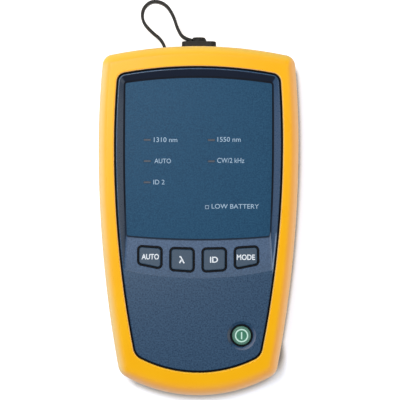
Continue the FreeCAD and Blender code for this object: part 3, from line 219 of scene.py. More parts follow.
class Finish:
    """A material with one principled shader and short calls for the nodes that feed it.

    x, y and z are the place on the surface, and face_x, face_y and face_z the way the surface faces.
    """

    def __init__(self, name, **values):
        self.material = bpy.data.materials.new(name)
        self.material.use_nodes = True
        self.tree = self.material.node_tree
        self.tree.nodes.clear()
        self.shader = self.add("ShaderNodeBsdfPrincipled")
        self.output = self.add("ShaderNodeOutputMaterial")
        self.link(self.shader.outputs["BSDF"], self.output.inputs["Surface"])
        coordinates = self.add("ShaderNodeTexCoord")
        self.place = coordinates.outputs["Object"]
        self.facing = coordinates.outputs["Normal"]
        self.x, self.y, self.z = self.axes(self.place)
        self.face_x, self.face_y, self.face_z = self.axes(self.facing)
        for socket, value in values.items():
            self.shader.inputs[socket.replace("_", " ")].default_value = value

    def add(self, kind, **settings):
        node = self.tree.nodes.new(kind)
        for key, value in settings.items():
            setattr(node, key, value)
        return node

    def link(self, source, target):
        self.tree.links.new(source, target)

    def feed(self, socket, value):
        """Links a socket to another node's output, or sets its value."""
        if isinstance(value, bpy.types.NodeSocket):
            self.link(value, socket)
        else:
            socket.default_value = value

    def axes(self, vector):
        """The three numbers of a vector."""
        node = self.add("ShaderNodeSeparateXYZ")
        self.link(vector, node.inputs["Vector"])
        return node.outputs["X"], node.outputs["Y"], node.outputs["Z"]

    def stretched(self, x, y, z):
        """The place on the surface, with each axis scaled."""
        node = self.add("ShaderNodeMapping")
        self.link(self.place, node.inputs["Vector"])
        node.inputs["Scale"].default_value = (x, y, z)
        return node.outputs["Vector"]

    def plan(self):
        """The place on the surface, seen from above."""
        return self.stretched(1, 1, 0)

    def vectors(self, operation, first, second):
        """One number from two vectors."""
        node = self.add("ShaderNodeVectorMath", operation=operation)
        self.feed(node.inputs[0], first)
        self.feed(node.inputs[1], second)
        return node.outputs["Value"]

    def noise(self, scale, detail=3.0, roughness=0.5, place=None):
        node = self.add("ShaderNodeTexNoise")
        self.link(place or self.place, node.inputs["Vector"])
        node.inputs["Scale"].default_value = scale
        node.inputs["Detail"].default_value = detail
        node.inputs["Roughness"].default_value = roughness
        return node.outputs["Fac"]

    def cells(self, scale):
        node = self.add("ShaderNodeTexVoronoi")
        self.link(self.place, node.inputs["Vector"])
        node.inputs["Scale"].default_value = scale
        return node.outputs["Distance"]

    def math(self, operation, first, second=0.0):
        node = self.add("ShaderNodeMath", operation=operation)
        self.feed(node.inputs[0], first)
        self.feed(node.inputs[1], second)
        return node.outputs["Value"]

    def minus(self, first, second):
        return self.math("SUBTRACT", first, second)

    def unsigned(self, value):
        return self.math("ABSOLUTE", value)

    def both(self, first, *others):
        """The product of masks: where all of them are set."""
        for other in others:
            first = self.math("MULTIPLY", first, other)
        return first

    def either(self, first, *others):
        """The greatest of masks or values: where any of them is set."""
        for other in others:
            first = self.math("MAXIMUM", first, other)
        return first

    def span(self, source, low, high, start=0.0, end=1.0):
        """Maps low to high onto start to end, held at the ends."""
        node = self.add("ShaderNodeMapRange")
        self.link(source, node.inputs["Value"])
        for socket, value in zip(("From Min", "From Max", "To Min", "To Max"), (low, high, start, end)):
            node.inputs[socket].default_value = value
        return node.outputs["Result"]

    def between(self, share, start, end):
        """A value that goes from start to end with a share of 0 to 1."""
        return self.span(share, 0.0, 1.0, start, end)

    def cloud(self, noise, low=0.3, high=0.7):
        """Noise spread out to fill 0 to 1."""
        return self.span(noise, low, high)

    def mix(self, share, first, second):
        """A colour from the first to the second."""
        node = self.add("ShaderNodeMix", data_type="RGBA")
        sockets = [socket for socket in node.inputs if socket.enabled]
        for socket, value in zip(sockets, (share, first, second)):
            self.feed(socket, value)
        return next(socket for socket in node.outputs if socket.enabled)

    def colour(self, value):
        self.feed(self.shader.inputs["Base Color"], value)

    def rough(self, value):
        self.feed(self.shader.inputs["Roughness"], value)

    def rounded(self, radius, samples):
        """The way the surface would face if its edges were rounded."""
        node = self.add("ShaderNodeBevel", samples=samples)
        self.feed(node.inputs["Radius"], radius)
        return node.outputs["Normal"]

    def relief(self, height, depth, strength, edge=None, ridge=None, ridge_height=0.12 * MM):
        """Bump of a given depth, over edges rounded to a radius or over moulded ridges."""
        bump = self.add("ShaderNodeBump")
        self.link(height, bump.inputs["Height"])
        bump.inputs["Distance"].default_value = depth
        bump.inputs["Strength"].default_value = strength
        if edge:
            self.link(self.rounded(edge, samples=6), bump.inputs["Normal"])
        if ridge:
            under = self.add("ShaderNodeBump")
            self.link(ridge, under.inputs["Height"])
            under.inputs["Distance"].default_value = ridge_height
            self.link(under.outputs["Normal"], bump.inputs["Normal"])
        self.link(bump.outputs["Normal"], self.shader.inputs["Normal"])


def middle_of(name):
    """The middle of a CAD node in plan, at level 0."""
    low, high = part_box(name)
    return ((low.x + high.x) / 2, (low.y + high.y) / 2, 0)


def boot_lip(finish, level, tone):
    """The boot's tone near its outer edge: painted shade away from the light, and a painted pale highlight
    towards it.

    Returns the tone, and how far the lip leans to the top end.
    """
    tilt = finish.rounded(finish.span(finish.y, *LOWER_LIP, *LIP_REACH), samples=8)
    tilt_x, tilt_y, _ = finish.axes(tilt)
    from_light = finish.minus(tilt_x, tilt_y)
    outer = finish.span(finish.vectors("DOT_PRODUCT", finish.plan(), tilt), *LOOKING_OUT)
    rim = finish.both(finish.span(level, 0.5, 0.9), outer)
    # Masks for the painted shade on the rim's side away from the light and the painted highlight on the side
    # towards it.
    shaded = finish.both(finish.span(from_light, 0.0, 0.3, 0.0, 0.68), rim)
    painted_highlight = finish.both(finish.span(from_light, 0.0, -0.5, 0.0, 0.4), rim)
    upper = finish.span(tilt_y, 0.05, 0.25)
    # The deeper orange is painted shade; the pale lemon tones are the painted highlight.
    tone = finish.mix(shaded, tone, paint(234, 162, 88))
    pale = finish.mix(upper, paint(248, 214, 156), paint(246, 208, 100))
    return finish.mix(painted_highlight, tone, pale), upper


def boot_rubber():
    """Satin yellow rubber with a fine moulded grain and a seam, a painted pale sheen on the rounded edges
    and painted shade on the inner wall.
    """
    finish = Finish("boot_rubber", Specular_IOR_Level=0.12, Sheen_Weight=0.03, Sheen_Roughness=0.3)
    cloud = finish.cloud(finish.noise(38))
    level = finish.unsigned(finish.face_z)
    tone = finish.mix(cloud, paint(251, 179, 1), paint(252, 187, 5))
    tone, upper = boot_lip(finish, level, tone)

    # Painted reflection: the rounded edges go towards pale tones, lemon on the side towards the light and
    # peach away from it, more so towards the lower end, in random patches.
    rounding = finish.both(finish.span(level, 0.995, 0.7), finish.span(level, 0.1, 0.4))
    sheen_towards_lower_end = finish.span(finish.face_y, 0.5, -0.3, 0.6, 1.0)
    scuff_and_sheen = finish.span(finish.noise(420, 5, 0.65), 0.3, 0.75, 0.75, 1.0)
    lemon = finish.mix(upper, paint(248, 218, 160), paint(244, 213, 112))
    peach = paint(254, 200, 150)
    from_light = finish.span(finish.minus(finish.face_x, finish.face_y), -0.25, 0.25)
    tone = finish.mix(finish.both(rounding, sheen_towards_lower_end, scuff_and_sheen), tone, finish.mix(from_light, lemon, peach))

    # Painted shade: the boot's inner wall round the opening, where shade falls in the gap, is darkened to
    # brown.
    outward = finish.vectors("DOT_PRODUCT", finish.place, finish.facing)
    inner_wall_shade = finish.both(finish.span(outward, *LOOKING_IN), finish.span(level, 0.7, 0.5))
    finish.colour(finish.mix(inner_wall_shade, tone, paint(104, 72, 8)))
    finish.rough(finish.between(cloud, 0.27, 0.33))
    seam = finish.span(finish.unsigned(finish.minus(finish.z, SEAM_LEVEL)), *SEAM_SIDE)
    finish.relief(finish.noise(2600, 2), 0.02 * MM, 0.3, ridge=seam)
    return finish.material


def black_rubber():
    """Matt black rubber, a little dusty."""
    finish = Finish("black_rubber", Specular_IOR_Level=0.25)
    dust = finish.cloud(finish.noise(260, 5, 0.6), 0.4, 0.7)
    finish.colour(finish.mix(dust, paint(30, 29, 26), paint(46, 44, 39)))
    finish.rough(finish.between(dust, 0.5, 0.68))
    finish.relief(finish.noise(3200, 2), 0.03 * MM, 0.4)
    return finish.material


def collar_rubber():
    """Near-black silicone of the key mat."""
    finish = Finish("collar_rubber", Specular_IOR_Level=0.15)
    fine = finish.noise(1600)
    cloud = finish.cloud(fine)
    finish.colour(finish.mix(cloud, paint(7, 9, 16), paint(14, 16, 24)))
    finish.rough(finish.between(cloud, 0.55, 0.7))
    finish.relief(fine, 0.02 * MM, 0.3)
    return finish.material


def tray_tones(finish, tone, upward):
    """The tray's far bevel and the gutter at the bevels' foot in painted shade, and its side bevels in
    painted bounce light.

    Returns the tone, the gutter and the far bevel.
    """
    # Painted shade: the bevel at the far end of the tray, facing the keys, is made dark.
    slope = finish.span(finish.face_z, 0.93, 0.88)
    towards_keys = finish.span(finish.face_y, -0.35, -0.5)
    far_bevel_shade = finish.both(slope, towards_keys, finish.span(finish.y, *FAR_BEVEL))
    tone = finish.mix(far_bevel_shade, tone, paint(15, 27, 48))

    # Painted bounce light: the left-hand side bevel takes a greyer tone and the right-hand one a bluer tone.
    sideways = finish.span(finish.unsigned(finish.face_x), 0.35, 0.5)
    side_bevel = finish.both(sideways, slope, finish.span(finish.z, *ABOVE_GUTTER))
    right_hand = finish.span(finish.face_x, 0.1, -0.1)
    side_bevel_bounce_tone = finish.mix(right_hand, paint(50, 64, 82), paint(46, 74, 106))
    tone = finish.mix(side_bevel, tone, side_bevel_bounce_tone)

    # Painted shade: the gutter round the label and the foot of the bevels are darkened, more so towards the
    # far end.
    over_floor = finish.span(finish.z, *GUTTER_FLOOR)
    bed = finish.both(finish.span(finish.z, *GUTTER_BRIM), over_floor, upward)
    foot = finish.both(slope, finish.span(finish.z, *BEVEL_FOOT), over_floor)
    gutter = finish.either(bed, foot)
    darkens = finish.span(finish.y, *GUTTER_DARKENS)
    gutter_shade = finish.mix(darkens, paint(30, 45, 64), paint(14, 22, 36))
    return finish.mix(gutter, tone, gutter_shade), gutter, far_bevel_shade


def crease_highlight(finish, tone):
    """Painted highlight: a pale line along the edge of the deck right of the keys."""
    rounded_x, _, _ = finish.axes(finish.rounded(CREASE_WIDTH, samples=8))
    bent = finish.unsigned(finish.minus(finish.face_x, rounded_x))
    line = finish.span(bent, 0.04, 0.16, 0.0, 0.85)
    beside_keys = finish.both(finish.span(finish.y, *CREASE_LOWER), finish.span(finish.y, *CREASE_UPPER))
    crease = finish.both(line, finish.span(finish.x, *CREASE_SIDE), beside_keys)
    return finish.mix(crease, tone, paint(150, 168, 194))


def dish_rim(finish, tone):
    """The power button's dish, with a painted highlight on the side that faces the light."""
    radius = finish.vectors("DISTANCE", finish.plan(), middle_of("power_button"))
    dish = finish.both(finish.span(radius, *DISH_INNER), finish.span(radius, *DISH_OUTER))
    to_light = finish.span(finish.minus(finish.face_y, finish.face_x), 0.1, 0.4, 0.0, 0.75)
    return finish.mix(finish.both(dish, to_light), tone, paint(98, 108, 132))


def case_plastic():
    """Dark blue-grey moulding with an eroded grain, duller on the sloping key deck and paler there as
    painted light.
    """
    finish = Finish("case_plastic", Specular_IOR_Level=0.36)
    fine = finish.noise(1500, 3, 0.6)
    speckle = finish.cloud(fine, 0.36, 0.66)
    upward = finish.span(finish.face_z, 0.9, 0.97)
    deck = finish.both(finish.span(finish.face_y, 0.08, 0.13), upward)
    fading_deck = finish.both(deck, finish.span(finish.y, *DECK_FADE, 0.35, 1.0))
    body_tone = finish.mix(speckle, paint(15, 51, 83), paint(45, 82, 114))
    # Painted light: the key deck, which tilts towards the light, is given a paler tone.
    deck_lit_tone = finish.mix(speckle, paint(40, 69, 103), paint(67, 96, 130))
    tone = finish.mix(fading_deck, body_tone, deck_lit_tone)
    tone, gutter, far_bevel_shade = tray_tones(finish, tone, upward)
    tone = crease_highlight(finish, tone)
    tone = dish_rim(finish, tone)

    # Painted shade: the upright walls and the ledges of the key wells and round the face are painted
    # near-black, where shade falls.
    wall = finish.span(finish.unsigned(finish.face_z), 0.45, 0.3)
    ledge = finish.both(finish.span(finish.face_z, 0.993, 0.996), finish.span(finish.z, *WELL_LEDGE))
    well_shade = finish.both(finish.either(wall, ledge), finish.span(finish.z, *ABOVE_GUTTER))
    finish.colour(finish.mix(well_shade, tone, paint(12, 12, 18)))

    plain = finish.between(finish.cloud(fine), 0.25, 0.33)
    hollow = finish.between(finish.either(gutter, well_shade, far_bevel_shade), 0.0, 0.9)
    finish.rough(finish.either(plain, hollow, finish.between(deck, 0.0, 0.45)))
    grain = finish.math("ADD", finish.cells(1300), fine)
    finish.relief(finish.math("MULTIPLY", grain, 0.6), 0.05 * MM, 0.25, edge=0.25 * MM)
    return finish.material


def door_plastic():
    """The case's plastic, darker in the thumb scoop."""
    finish = Finish("door_plastic", Specular_IOR_Level=0.36)
    low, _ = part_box("battery_door")
    fine = finish.noise(1500, 3, 0.6)
    body = finish.mix(finish.cloud(fine, 0.36, 0.66), paint(21, 56, 87), paint(38, 74, 105))
    sunk = finish.span(finish.minus(finish.z, low.z), *SCOOP_DEPTH)
    outside = finish.span(finish.face_z, -0.8, -0.95)
    finish.colour(finish.mix(finish.both(sunk, outside), body, paint(20, 42, 66)))
    finish.rough(finish.between(finish.cloud(fine), 0.25, 0.33))
    finish.relief(fine, 0.05 * MM, 0.25, edge=0.15 * MM)
    return finish.material


def screw_steel():
    """Zinc-plated screws with a cross recess in each head."""
    finish = Finish("screw_steel", Metallic=1.0)
    lines = finish.noise(1500, 4, 0.6)
    cloud = finish.cloud(lines)
    plate = finish.mix(cloud, paint(150, 150, 148), paint(190, 190, 186))
    (near_x, near_y), (far_x, far_y) = SCREWS
    far = finish.span(finish.y, *SCREW_ENDS_PART)
    side = finish.minus(finish.unsigned(finish.x), finish.between(far, near_x, far_x))
    along = finish.minus(finish.y, finish.between(far, near_y, far_y))
    offsets = finish.unsigned(side), finish.unsigned(along)
    nearest, farthest = finish.math("MINIMUM", *offsets), finish.math("MAXIMUM", *offsets)
    arm = finish.span(nearest, RECESS_HALF_WIDTH + RECESS_SOFT, RECESS_HALF_WIDTH - RECESS_SOFT)
    reach = finish.span(farthest, RECESS_REACH + 2 * RECESS_SOFT, RECESS_REACH - 2 * RECESS_SOFT)
    cross = finish.both(arm, reach, finish.span(finish.face_z, -0.7, -0.9))
    # Painted shade: the cross recess, made only by bump, is darkened as if in shade.
    finish.colour(finish.mix(cross, plate, paint(34, 34, 34)))
    finish.rough(finish.either(finish.between(cloud, 0.25, 0.4), finish.between(cross, 0.0, 0.7)))
    finish.relief(lines, 0.01 * MM, 0.3, ridge=finish.minus(1.0, cross))
    return finish.material


def label_film():
    """Velvet printed film, with slight cloudiness in the ink."""
    finish = Finish("label_film", Specular_IOR_Level=0.1)
    fleck = finish.noise(2200, 2)
    speckle = finish.cloud(finish.noise(1500, 3, 0.6), 0.36, 0.66)
    grain = finish.mix(speckle, paint(17, 61, 92), paint(34, 81, 113))
    cloud = finish.cloud(finish.noise(90, 4))
    tone = finish.mix(finish.between(cloud, 0.0, 0.4), grain, paint(28, 74, 106))
    finish.colour(finish.mix(finish.span(fleck, 0.55, 0.75, 0.0, 0.3), tone, paint(52, 96, 128)))
    finish.rough(finish.between(finish.cloud(fleck), 0.36, 0.44))
    finish.relief(fleck, 0.01 * MM, 0.4)
    return finish.material


def key_plastic():
    """Satin keys with rounded edges that catch the light."""
    finish = Finish("key_plastic", Specular_IOR_Level=0.25)
    fine = finish.noise(2100, 3, 0.6)
    finish.colour(finish.mix(finish.cloud(fine, 0.35, 0.68), paint(53, 73, 93), paint(65, 85, 105)))
    finish.rough(finish.between(finish.cloud(fine), 0.4, 0.55))
    finish.relief(fine, 0.02 * MM, 0.4, edge=0.3 * MM)
    return finish.material


def green_plastic():
    """Tinted silicone button, greyer towards its rim."""
    finish = Finish("green_plastic", Specular_IOR_Level=0.4)
    radius = finish.vectors("DISTANCE", finish.plan(), middle_of("power_button"))
    cloud = finish.cloud(finish.noise(320))
    tone = finish.mix(cloud, paint(44, 116, 90), paint(56, 128, 102))
    finish.colour(finish.mix(finish.span(radius, *BUTTON_RIM), tone, paint(78, 124, 108)))
    finish.rough(finish.between(cloud, 0.3, 0.42))
    finish.relief(finish.noise(2600, 2), 0.01 * MM, 0.3)
    return finish.material


def printed_ink(name, full, thin):
    """Screen-printed ink, thinner in places."""
    finish = Finish(name, Specular_IOR_Level=0.2)
    worn = finish.cloud(finish.noise(2400, 4, 0.6), 0.45, 0.72)
    finish.colour(finish.mix(finish.between(worn, 0.0, 0.4), paint(*full), paint(*thin)))
    finish.rough(finish.between(worn, 0.45, 0.6))
    return finish.material


def light_guide():
    """Clear plastic light guides, unlit and dull, with the low battery one darkened from below."""
    finish = Finish("light_guide", Specular_IOR_Level=0.15)
    cloud = finish.cloud(finish.noise(700))
    dull = finish.mix(cloud, paint(64, 80, 97), paint(86, 87, 96))
    dark = finish.mix(cloud, paint(24, 62, 92), paint(30, 70, 100))
    finish.colour(finish.mix(finish.span(finish.y, *LOW_GUIDE), dull, dark))
    finish.rough(finish.between(cloud, 0.3, 0.45))
    return finish.material


def moulded(name, dark, pale, roughness=(0.4, 0.55)):
    """Plain moulded plastic in two close tones."""
    finish = Finish(name)
    fine = finish.noise(1800, 3, 0.6)
    cloud = finish.cloud(fine)
    finish.colour(finish.mix(cloud, paint(*dark), paint(*pale)))
    finish.rough(finish.between(cloud, *roughness))
    finish.relief(fine, 0.02 * MM, 0.3)
    return finish.material


def metal(name, dark, pale, roughness, stretch=(1, 1, 1)):
    """Plated metal with fine lines across the axis that is stretched."""
    finish = Finish(name, Metallic=1.0)
    lines = finish.noise(1500, 4, 0.6, finish.stretched(*stretch))
    cloud = finish.cloud(lines)
    finish.colour(finish.mix(cloud, paint(*dark), paint(*pale)))
    finish.rough(finish.between(cloud, *roughness))
    finish.relief(lines, 0.01 * MM, 0.3)
    return finish.material


def laminate():
    """Green solder mask with copper runs showing through as paler lines."""
    finish = Finish("board_laminate", Specular_IOR_Level=0.5)
    tracks = finish.add("ShaderNodeTexBrick", offset=0.37)
    finish.link(finish.place, tracks.inputs["Vector"])
    tracks.inputs["Scale"].default_value = 160
    tracks.inputs["Mortar Size"].default_value = 0.03
    tracks.inputs["Color1"].default_value = paint(18, 78, 44)
    tracks.inputs["Color2"].default_value = paint(22, 88, 50)
    tracks.inputs["Mortar"].default_value = paint(62, 132, 78)
    finish.colour(tracks.outputs["Color"])
    finish.rough(finish.between(finish.cloud(finish.noise(500)), 0.3, 0.45))
    return finish.material


def cell_sleeve():
    """Shrunk cell sleeve in two plain bands, bare metal at both ends."""
    finish = Finish("cell_sleeve")
    low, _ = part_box("battery_cell_left")
    band = finish.span(finish.minus(finish.y, low.y), *SLEEVE_BAND)
    sleeve = finish.mix(band, paint(36, 38, 42), paint(176, 122, 62))
    scratch = finish.noise(900, 4, 0.6, finish.stretched(1, 0.2, 1))
    worn = finish.mix(finish.span(scratch, 0.6, 0.75, 0.0, 0.3), sleeve, paint(150, 148, 144))
    end = finish.span(finish.unsigned(finish.face_y), 0.8, 0.9)
    finish.colour(finish.mix(end, worn, paint(186, 186, 182)))
    finish.feed(finish.shader.inputs["Metallic"], end)
    finish.rough(finish.between(finish.cloud(scratch), 0.28, 0.42))
    return finish.material


def dress(material, *names):
    """Gives the named CAD nodes one material."""
    for name in names:
        slots = nodes[name].data.materials
        slots.clear()
        slots.append(material)


def dress_outside():
    """Puts a material on the CAD nodes of the shell and the face.

    Returns the cap's rubber and the door's plastic, which other pieces share.
    """
    rubber = black_rubber()
    door = door_plastic()
    dress(boot_rubber(), "rubber_boot")
    dress(rubber, "dust_cap", "cap_strap")
    dress(collar_rubber(), "keypad_mat")
    dress(case_plastic(), "front_case", "rear_case")
    dress(door, "battery_door")
    dress(screw_steel(), "case_screws")
    dress(label_film(), "face_label")
    dress(key_plastic(), "key_auto", "key_wavelength", "key_id", "key_mode")
    dress(green_plastic(), "power_button")
    dress(light_guide(), "light_guides")
    return rubber, door


def dress_inside():
    """Puts a material on the CAD nodes inside the case and in the port."""
    steel = metal("plated_steel", (150, 150, 148), (190, 190, 186), (0.25, 0.4), (1, 1, 8))
    contact = metal("sprung_contact", (176, 168, 150), (208, 202, 186), (0.22, 0.36))
    gilt = metal("laser_can", (168, 150, 110), (196, 178, 136), (0.22, 0.34), (1, 6, 1))
    ceramic = moulded("white_ceramic", (226, 226, 220), (238, 238, 234), (0.12, 0.22))
    buffer = moulded("fibre_buffer", (226, 212, 62), (238, 226, 92), (0.3, 0.42))
    dress(moulded("led_body", (214, 206, 186), (228, 222, 206), (0.3, 0.45)), "indicator_leds")
    dress(laminate(), "main_board")
    dress(steel, "board_screws", "key_switches")
    dress(contact, "bridge_contact", "terminal_contacts")
    dress(moulded("port_plastic", (22, 74, 140), (32, 88, 156)), "output_adapter")
    dress(ceramic, "ferrule_sleeve")
    dress(gilt, "laser_module_left", "laser_module_right")
    dress(moulded("module_plastic", (28, 28, 30), (42, 42, 44)), "wavelength_coupler")
    dress(buffer, "laser_lead_left", "laser_lead_right", "output_lead")
    dress(cell_sleeve(), "battery_cell_left", "battery_cell_right")


def piece(name, mesh_builder, material, body, smooth=False):
    """A new mesh object made in a bmesh, with its material, body and slot."""
    mesh = bpy.data.meshes.new(name)
    shape = bmesh.new()
    mesh_builder(shape)
    bmesh.ops.recalc_face_normals(shape, faces=shape.faces)
    for face in shape.faces:
        face.smooth = smooth
    shape.to_mesh(mesh)
    shape.free()
    mesh.materials.append(material)
    thing = bpy.data.objects.new(name, mesh)
    bpy.context.scene.collection.objects.link(thing)
    if body:
        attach(thing, body)
    return thing


def join_rings(shape, first, second):
    """Faces between two closed rings with as many corners."""
    count = len(first)
    for corner in range(count):
        after = (corner + 1) % count
        shape.faces.new((first[corner], first[after], second[after], second[corner]))


def closed_bar(shape, rings):
    """Faces of a bar along its rings, closed at both ends."""
    for first, second in zip(rings, rings[1:]):
        join_rings(shape, first, second)
    shape.faces.new(reversed(rings[0]))
    shape.faces.new(rings[-1])


def headings(points):
    """The direction at each point of a line, from the point before it to the point after it."""
    last = len(points) - 1
    return [points[min(index + 1, last)] - points[max(index - 1, 0)] for index in range(len(points))]


def door_ribs(shape):
    """Row of low ribs across the outside of the battery door."""
    low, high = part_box("battery_door")
    for index in range(RIBS):
        y = high.y - RIB_FROM - index * RIB_PITCH
        place = Matrix.Translation((0, y, low.z)) @ Matrix.Diagonal((*RIB_SIZE, 1))
        made = bmesh.ops.create_cube(shape, size=1.0, matrix=place)
        edges = list({edge for vertex in made["verts"] for edge in vertex.link_edges})
        bmesh.ops.bevel(shape, geom=edges, offset=RIB_ROUND, segments=3, affect="EDGES")


def spline_points(route, level):
    """Points read from a smooth spline that has the route as its control points."""
    curve = bpy.data.curves.new("route", "CURVE")
    curve.dimensions = "3D"
    curve.resolution_u = 10
    spline = curve.splines.new("NURBS")
    spline.points.add(len(route) - 1)
    for point, (x, y) in zip(spline.points, route):
        point.co = (x, y, level, 1.0)
    spline.order_u = 3
    spline.use_endpoint_u = True
    holder = bpy.data.objects.new("route", curve)
    line = bpy.data.meshes.new_from_object(holder)
    points = [vertex.co.copy() for vertex in line.vertices]
    bpy.data.objects.remove(holder)
    bpy.data.meshes.remove(line)
    bpy.data.curves.remove(curve)
    return points


def rounded_section(half_thick, half_wide, edge, steps=3):
    """Corners of a flat section with rounded edges, across and up."""
    corners = []
    for turn, (side, top) in enumerate(((1, 1), (-1, 1), (-1, -1), (1, -1))):
        for step in range(steps + 1):
            angle = math.pi / 2 * (turn + step / steps)
            across = side * (half_thick - edge) + edge * math.cos(angle)
            up = top * (half_wide - edge) + edge * math.sin(angle)
            corners.append((across, up))
    return corners


def strap_strip(shape, path):
    """Flat strap on edge along a path that stays level."""
    section = rounded_section(STRAP_THICKNESS / 2, STRAP_WIDTH / 2, STRAP_EDGE)
    rings = []
    for point, heading in zip(path, headings(path)):
        along = heading.normalized()
        side = Vector((-along.y, along.x, 0))
        rings.append([shape.verts.new(point + side * across + UP * up) for across, up in section])
    closed_bar(shape, rings)


def eyelet(shape):
    """Flat ring of the strap round the neck of the cap's nub."""
    half = STRAP_THICKNESS / 2
    middle = (EYELET_INNER + EYELET_OUTER) / 2
    section = rounded_section((EYELET_OUTER - EYELET_INNER) / 2, half, STRAP_EDGE)
    centre = Vector((0, EYELET_FROM + half, STRAP_LEVEL))
    rings = []
    for step in range(EYELET_STEPS):
        angle = 2 * math.pi * step / EYELET_STEPS
        outward = Vector((math.cos(angle), 0, math.sin(angle)))
        ring = []
        for across, along in section:
            ring.append(shape.verts.new(centre + outward * (middle + across) + Vector((0, along, 0))))
        rings.append(ring)
    for first, second in zip(rings, rings[1:] + rings[:1]):
        join_rings(shape, first, second)


def strap_head(shape):
    """Head that keeps the strap's end behind the end wall."""
    x, y = STRAP_ROUTE[-1]
    size = (STRAP_HEAD_WIDTH, STRAP_HEAD_DEPTH, STRAP_WIDTH)
    place = Matrix.Translation((x, y - STRAP_HEAD_DEPTH / 2, STRAP_LEVEL)) @ Matrix.Diagonal((*size, 1))
    bmesh.ops.create_cube(shape, size=1.0, matrix=place)
    bmesh.ops.bevel(shape, geom=shape.edges[:], offset=STRAP_EDGE, segments=2, affect="EDGES")


def make_strap(rubber):
    """The strap from the cap to the end wall, as a strip with an eyelet and a head."""
    path = spline_points(STRAP_ROUTE, STRAP_LEVEL)
    ring = piece("strap_eyelet", eyelet, rubber, "cap", smooth=True)
    head = piece("strap_head", strap_head, rubber, "case")
    strip = piece(
        "cap_strap_strip",
        lambda shape: strap_strip(shape, path),
        rubber,
        None,
        smooth=True,
    )
    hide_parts("cap_strap")
    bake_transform(strip)


def surface_of(name):
    """Finds the point and normal on top of a CAD node above a place in plan."""
    tree = BVHTree.FromPolygons(
        [vertex.co for vertex in nodes[name].data.vertices],
        [polygon.vertices[:] for polygon in nodes[name].data.polygons],
    )

    def drop(x, y):
        point, normal, _, _ = tree.ray_cast(Vector((x, y, 1.0)), -UP)
        return point, normal

    return drop


def laid_on(point, normal, thickness):
    """Matrix that lays something on a surface, its own up along the normal."""
    turn = UP.rotation_difference(normal).to_matrix().to_4x4()
    return Matrix.Translation(point) @ turn @ Matrix.Diagonal((1, 1, thickness, 1))


def lettering(text, width, height, boldness):
    """Letters as a mesh about their middle, with a width and a height, one unit thick."""
    curve = bpy.data.curves.new("letters", "FONT")
    curve.body = text
    curve.bevel_depth = boldness
    curve.resolution_u = 4
    curve.extrude = 0.5
    holder = bpy.data.objects.new("letters", curve)
    bpy.context.scene.collection.objects.link(holder)
    bpy.context.view_layer.update()
    made = holder.evaluated_get(bpy.context.evaluated_depsgraph_get())
    mesh = bpy.data.meshes.new_from_object(made)
    bpy.data.objects.remove(holder)
    bpy.data.curves.remove(curve)
    corners = [vertex.co for vertex in mesh.vertices]
    low = Vector([min(corner[axis] for corner in corners) for axis in range(3)])
    high = Vector([max(corner[axis] for corner in corners) for axis in range(3)])
    scale = Matrix.Diagonal((width / (high.x - low.x), height / (high.y - low.y), 1, 1))
    mesh.transform(scale @ Matrix.Translation(-(low + high) / 2))
    return mesh


def legends(shape, carrier, items, thickness, boldness):
    """Adds printed words to a shape: text, middle in plan, width and height, in millimetres."""
    drop = surface_of(carrier)
    for text, x, y, width, height in items:
        mesh = lettering(text, width * MM, height * MM, boldness)
        mesh.transform(laid_on(*drop(x * MM, y * MM), thickness))
        shape.from_mesh(mesh)
        bpy.data.meshes.remove(mesh)


def flat_ring(shape, outer, inner, place, steps):
    """Flat ring or frame, one unit thick about its middle, laid by a matrix."""
    rims = []
    for radius, level in ((outer, -0.5), (outer, 0.5), (inner, 0.5), (inner, -0.5)):
        rim = []
        for step in range(steps):
            angle = 2 * math.pi * (step + 0.5) / steps
            corner = Vector((radius * math.cos(angle), radius * math.sin(angle), level))
            rim.append(shape.verts.new(place @ corner))
        rims.append(rim)
    for first, second in zip(rims, rims[1:] + rims[:1]):
        join_rings(shape, first, second)


def stroke(shape, points, width, place):
    """Bent bar of one width along points, one unit thick, laid by a matrix."""
    points = [Vector(point) for point in points]
    rings = []
    for point, heading in zip(points, headings(points)):
        across = Vector((-heading.y, heading.x)).normalized() * width / 2
        left, right = point + across, point - across
        corners = ((left, 0.5), (right, 0.5), (right, -0.5), (left, -0.5))
        rings.append([shape.verts.new(place @ Vector((*corner, level))) for corner, level in corners])
    closed_bar(shape, rings)


def label_print(shape):
    """Legends on the label, with the frame of the battery mark."""
    legends(shape, "face_label", LABEL_LEGENDS, INK_THICKNESS, 0.0)
    x, y = BATTERY_MARK
    outer, inner = BATTERY_MARK_HALVES
    point, normal = surface_of("face_label")(x + outer, y)
    place = laid_on(Vector((x, y, point.z)), normal, INK_THICKNESS)
    flat_ring(shape, outer * math.sqrt(2), inner * math.sqrt(2), place, steps=4)


def key_print(shape, carrier, text, box):
    """Legend of one key: a word, or the wavelength sign."""
    if text:
        legends(shape, carrier, [(text, *box)], KEY_INK_THICKNESS, KEY_BOLDNESS)
        return
    x, y, width, height = box
    place = laid_on(*surface_of(carrier)(x * MM, y * MM), KEY_INK_THICKNESS)
    place = place @ Matrix.Diagonal((width * MM, height * MM, 1, 1))
    for points in WAVE_STROKES:
        stroke(shape, points, WAVE_STROKE, place)


def power_print(shape):
    """Power sign on the button: a ring with an upright bar in it."""
    low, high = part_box("power_button")
    top = Vector(((low.x + high.x) / 2, (low.y + high.y) / 2, high.z))
    place = laid_on(top, UP, KEY_INK_THICKNESS)
    flat_ring(shape, *POWER_RING, place, POWER_RING_STEPS)
    bmesh.ops.create_cube(shape, size=1.0, matrix=place @ Matrix.Diagonal((*POWER_BAR, 1, 1)))


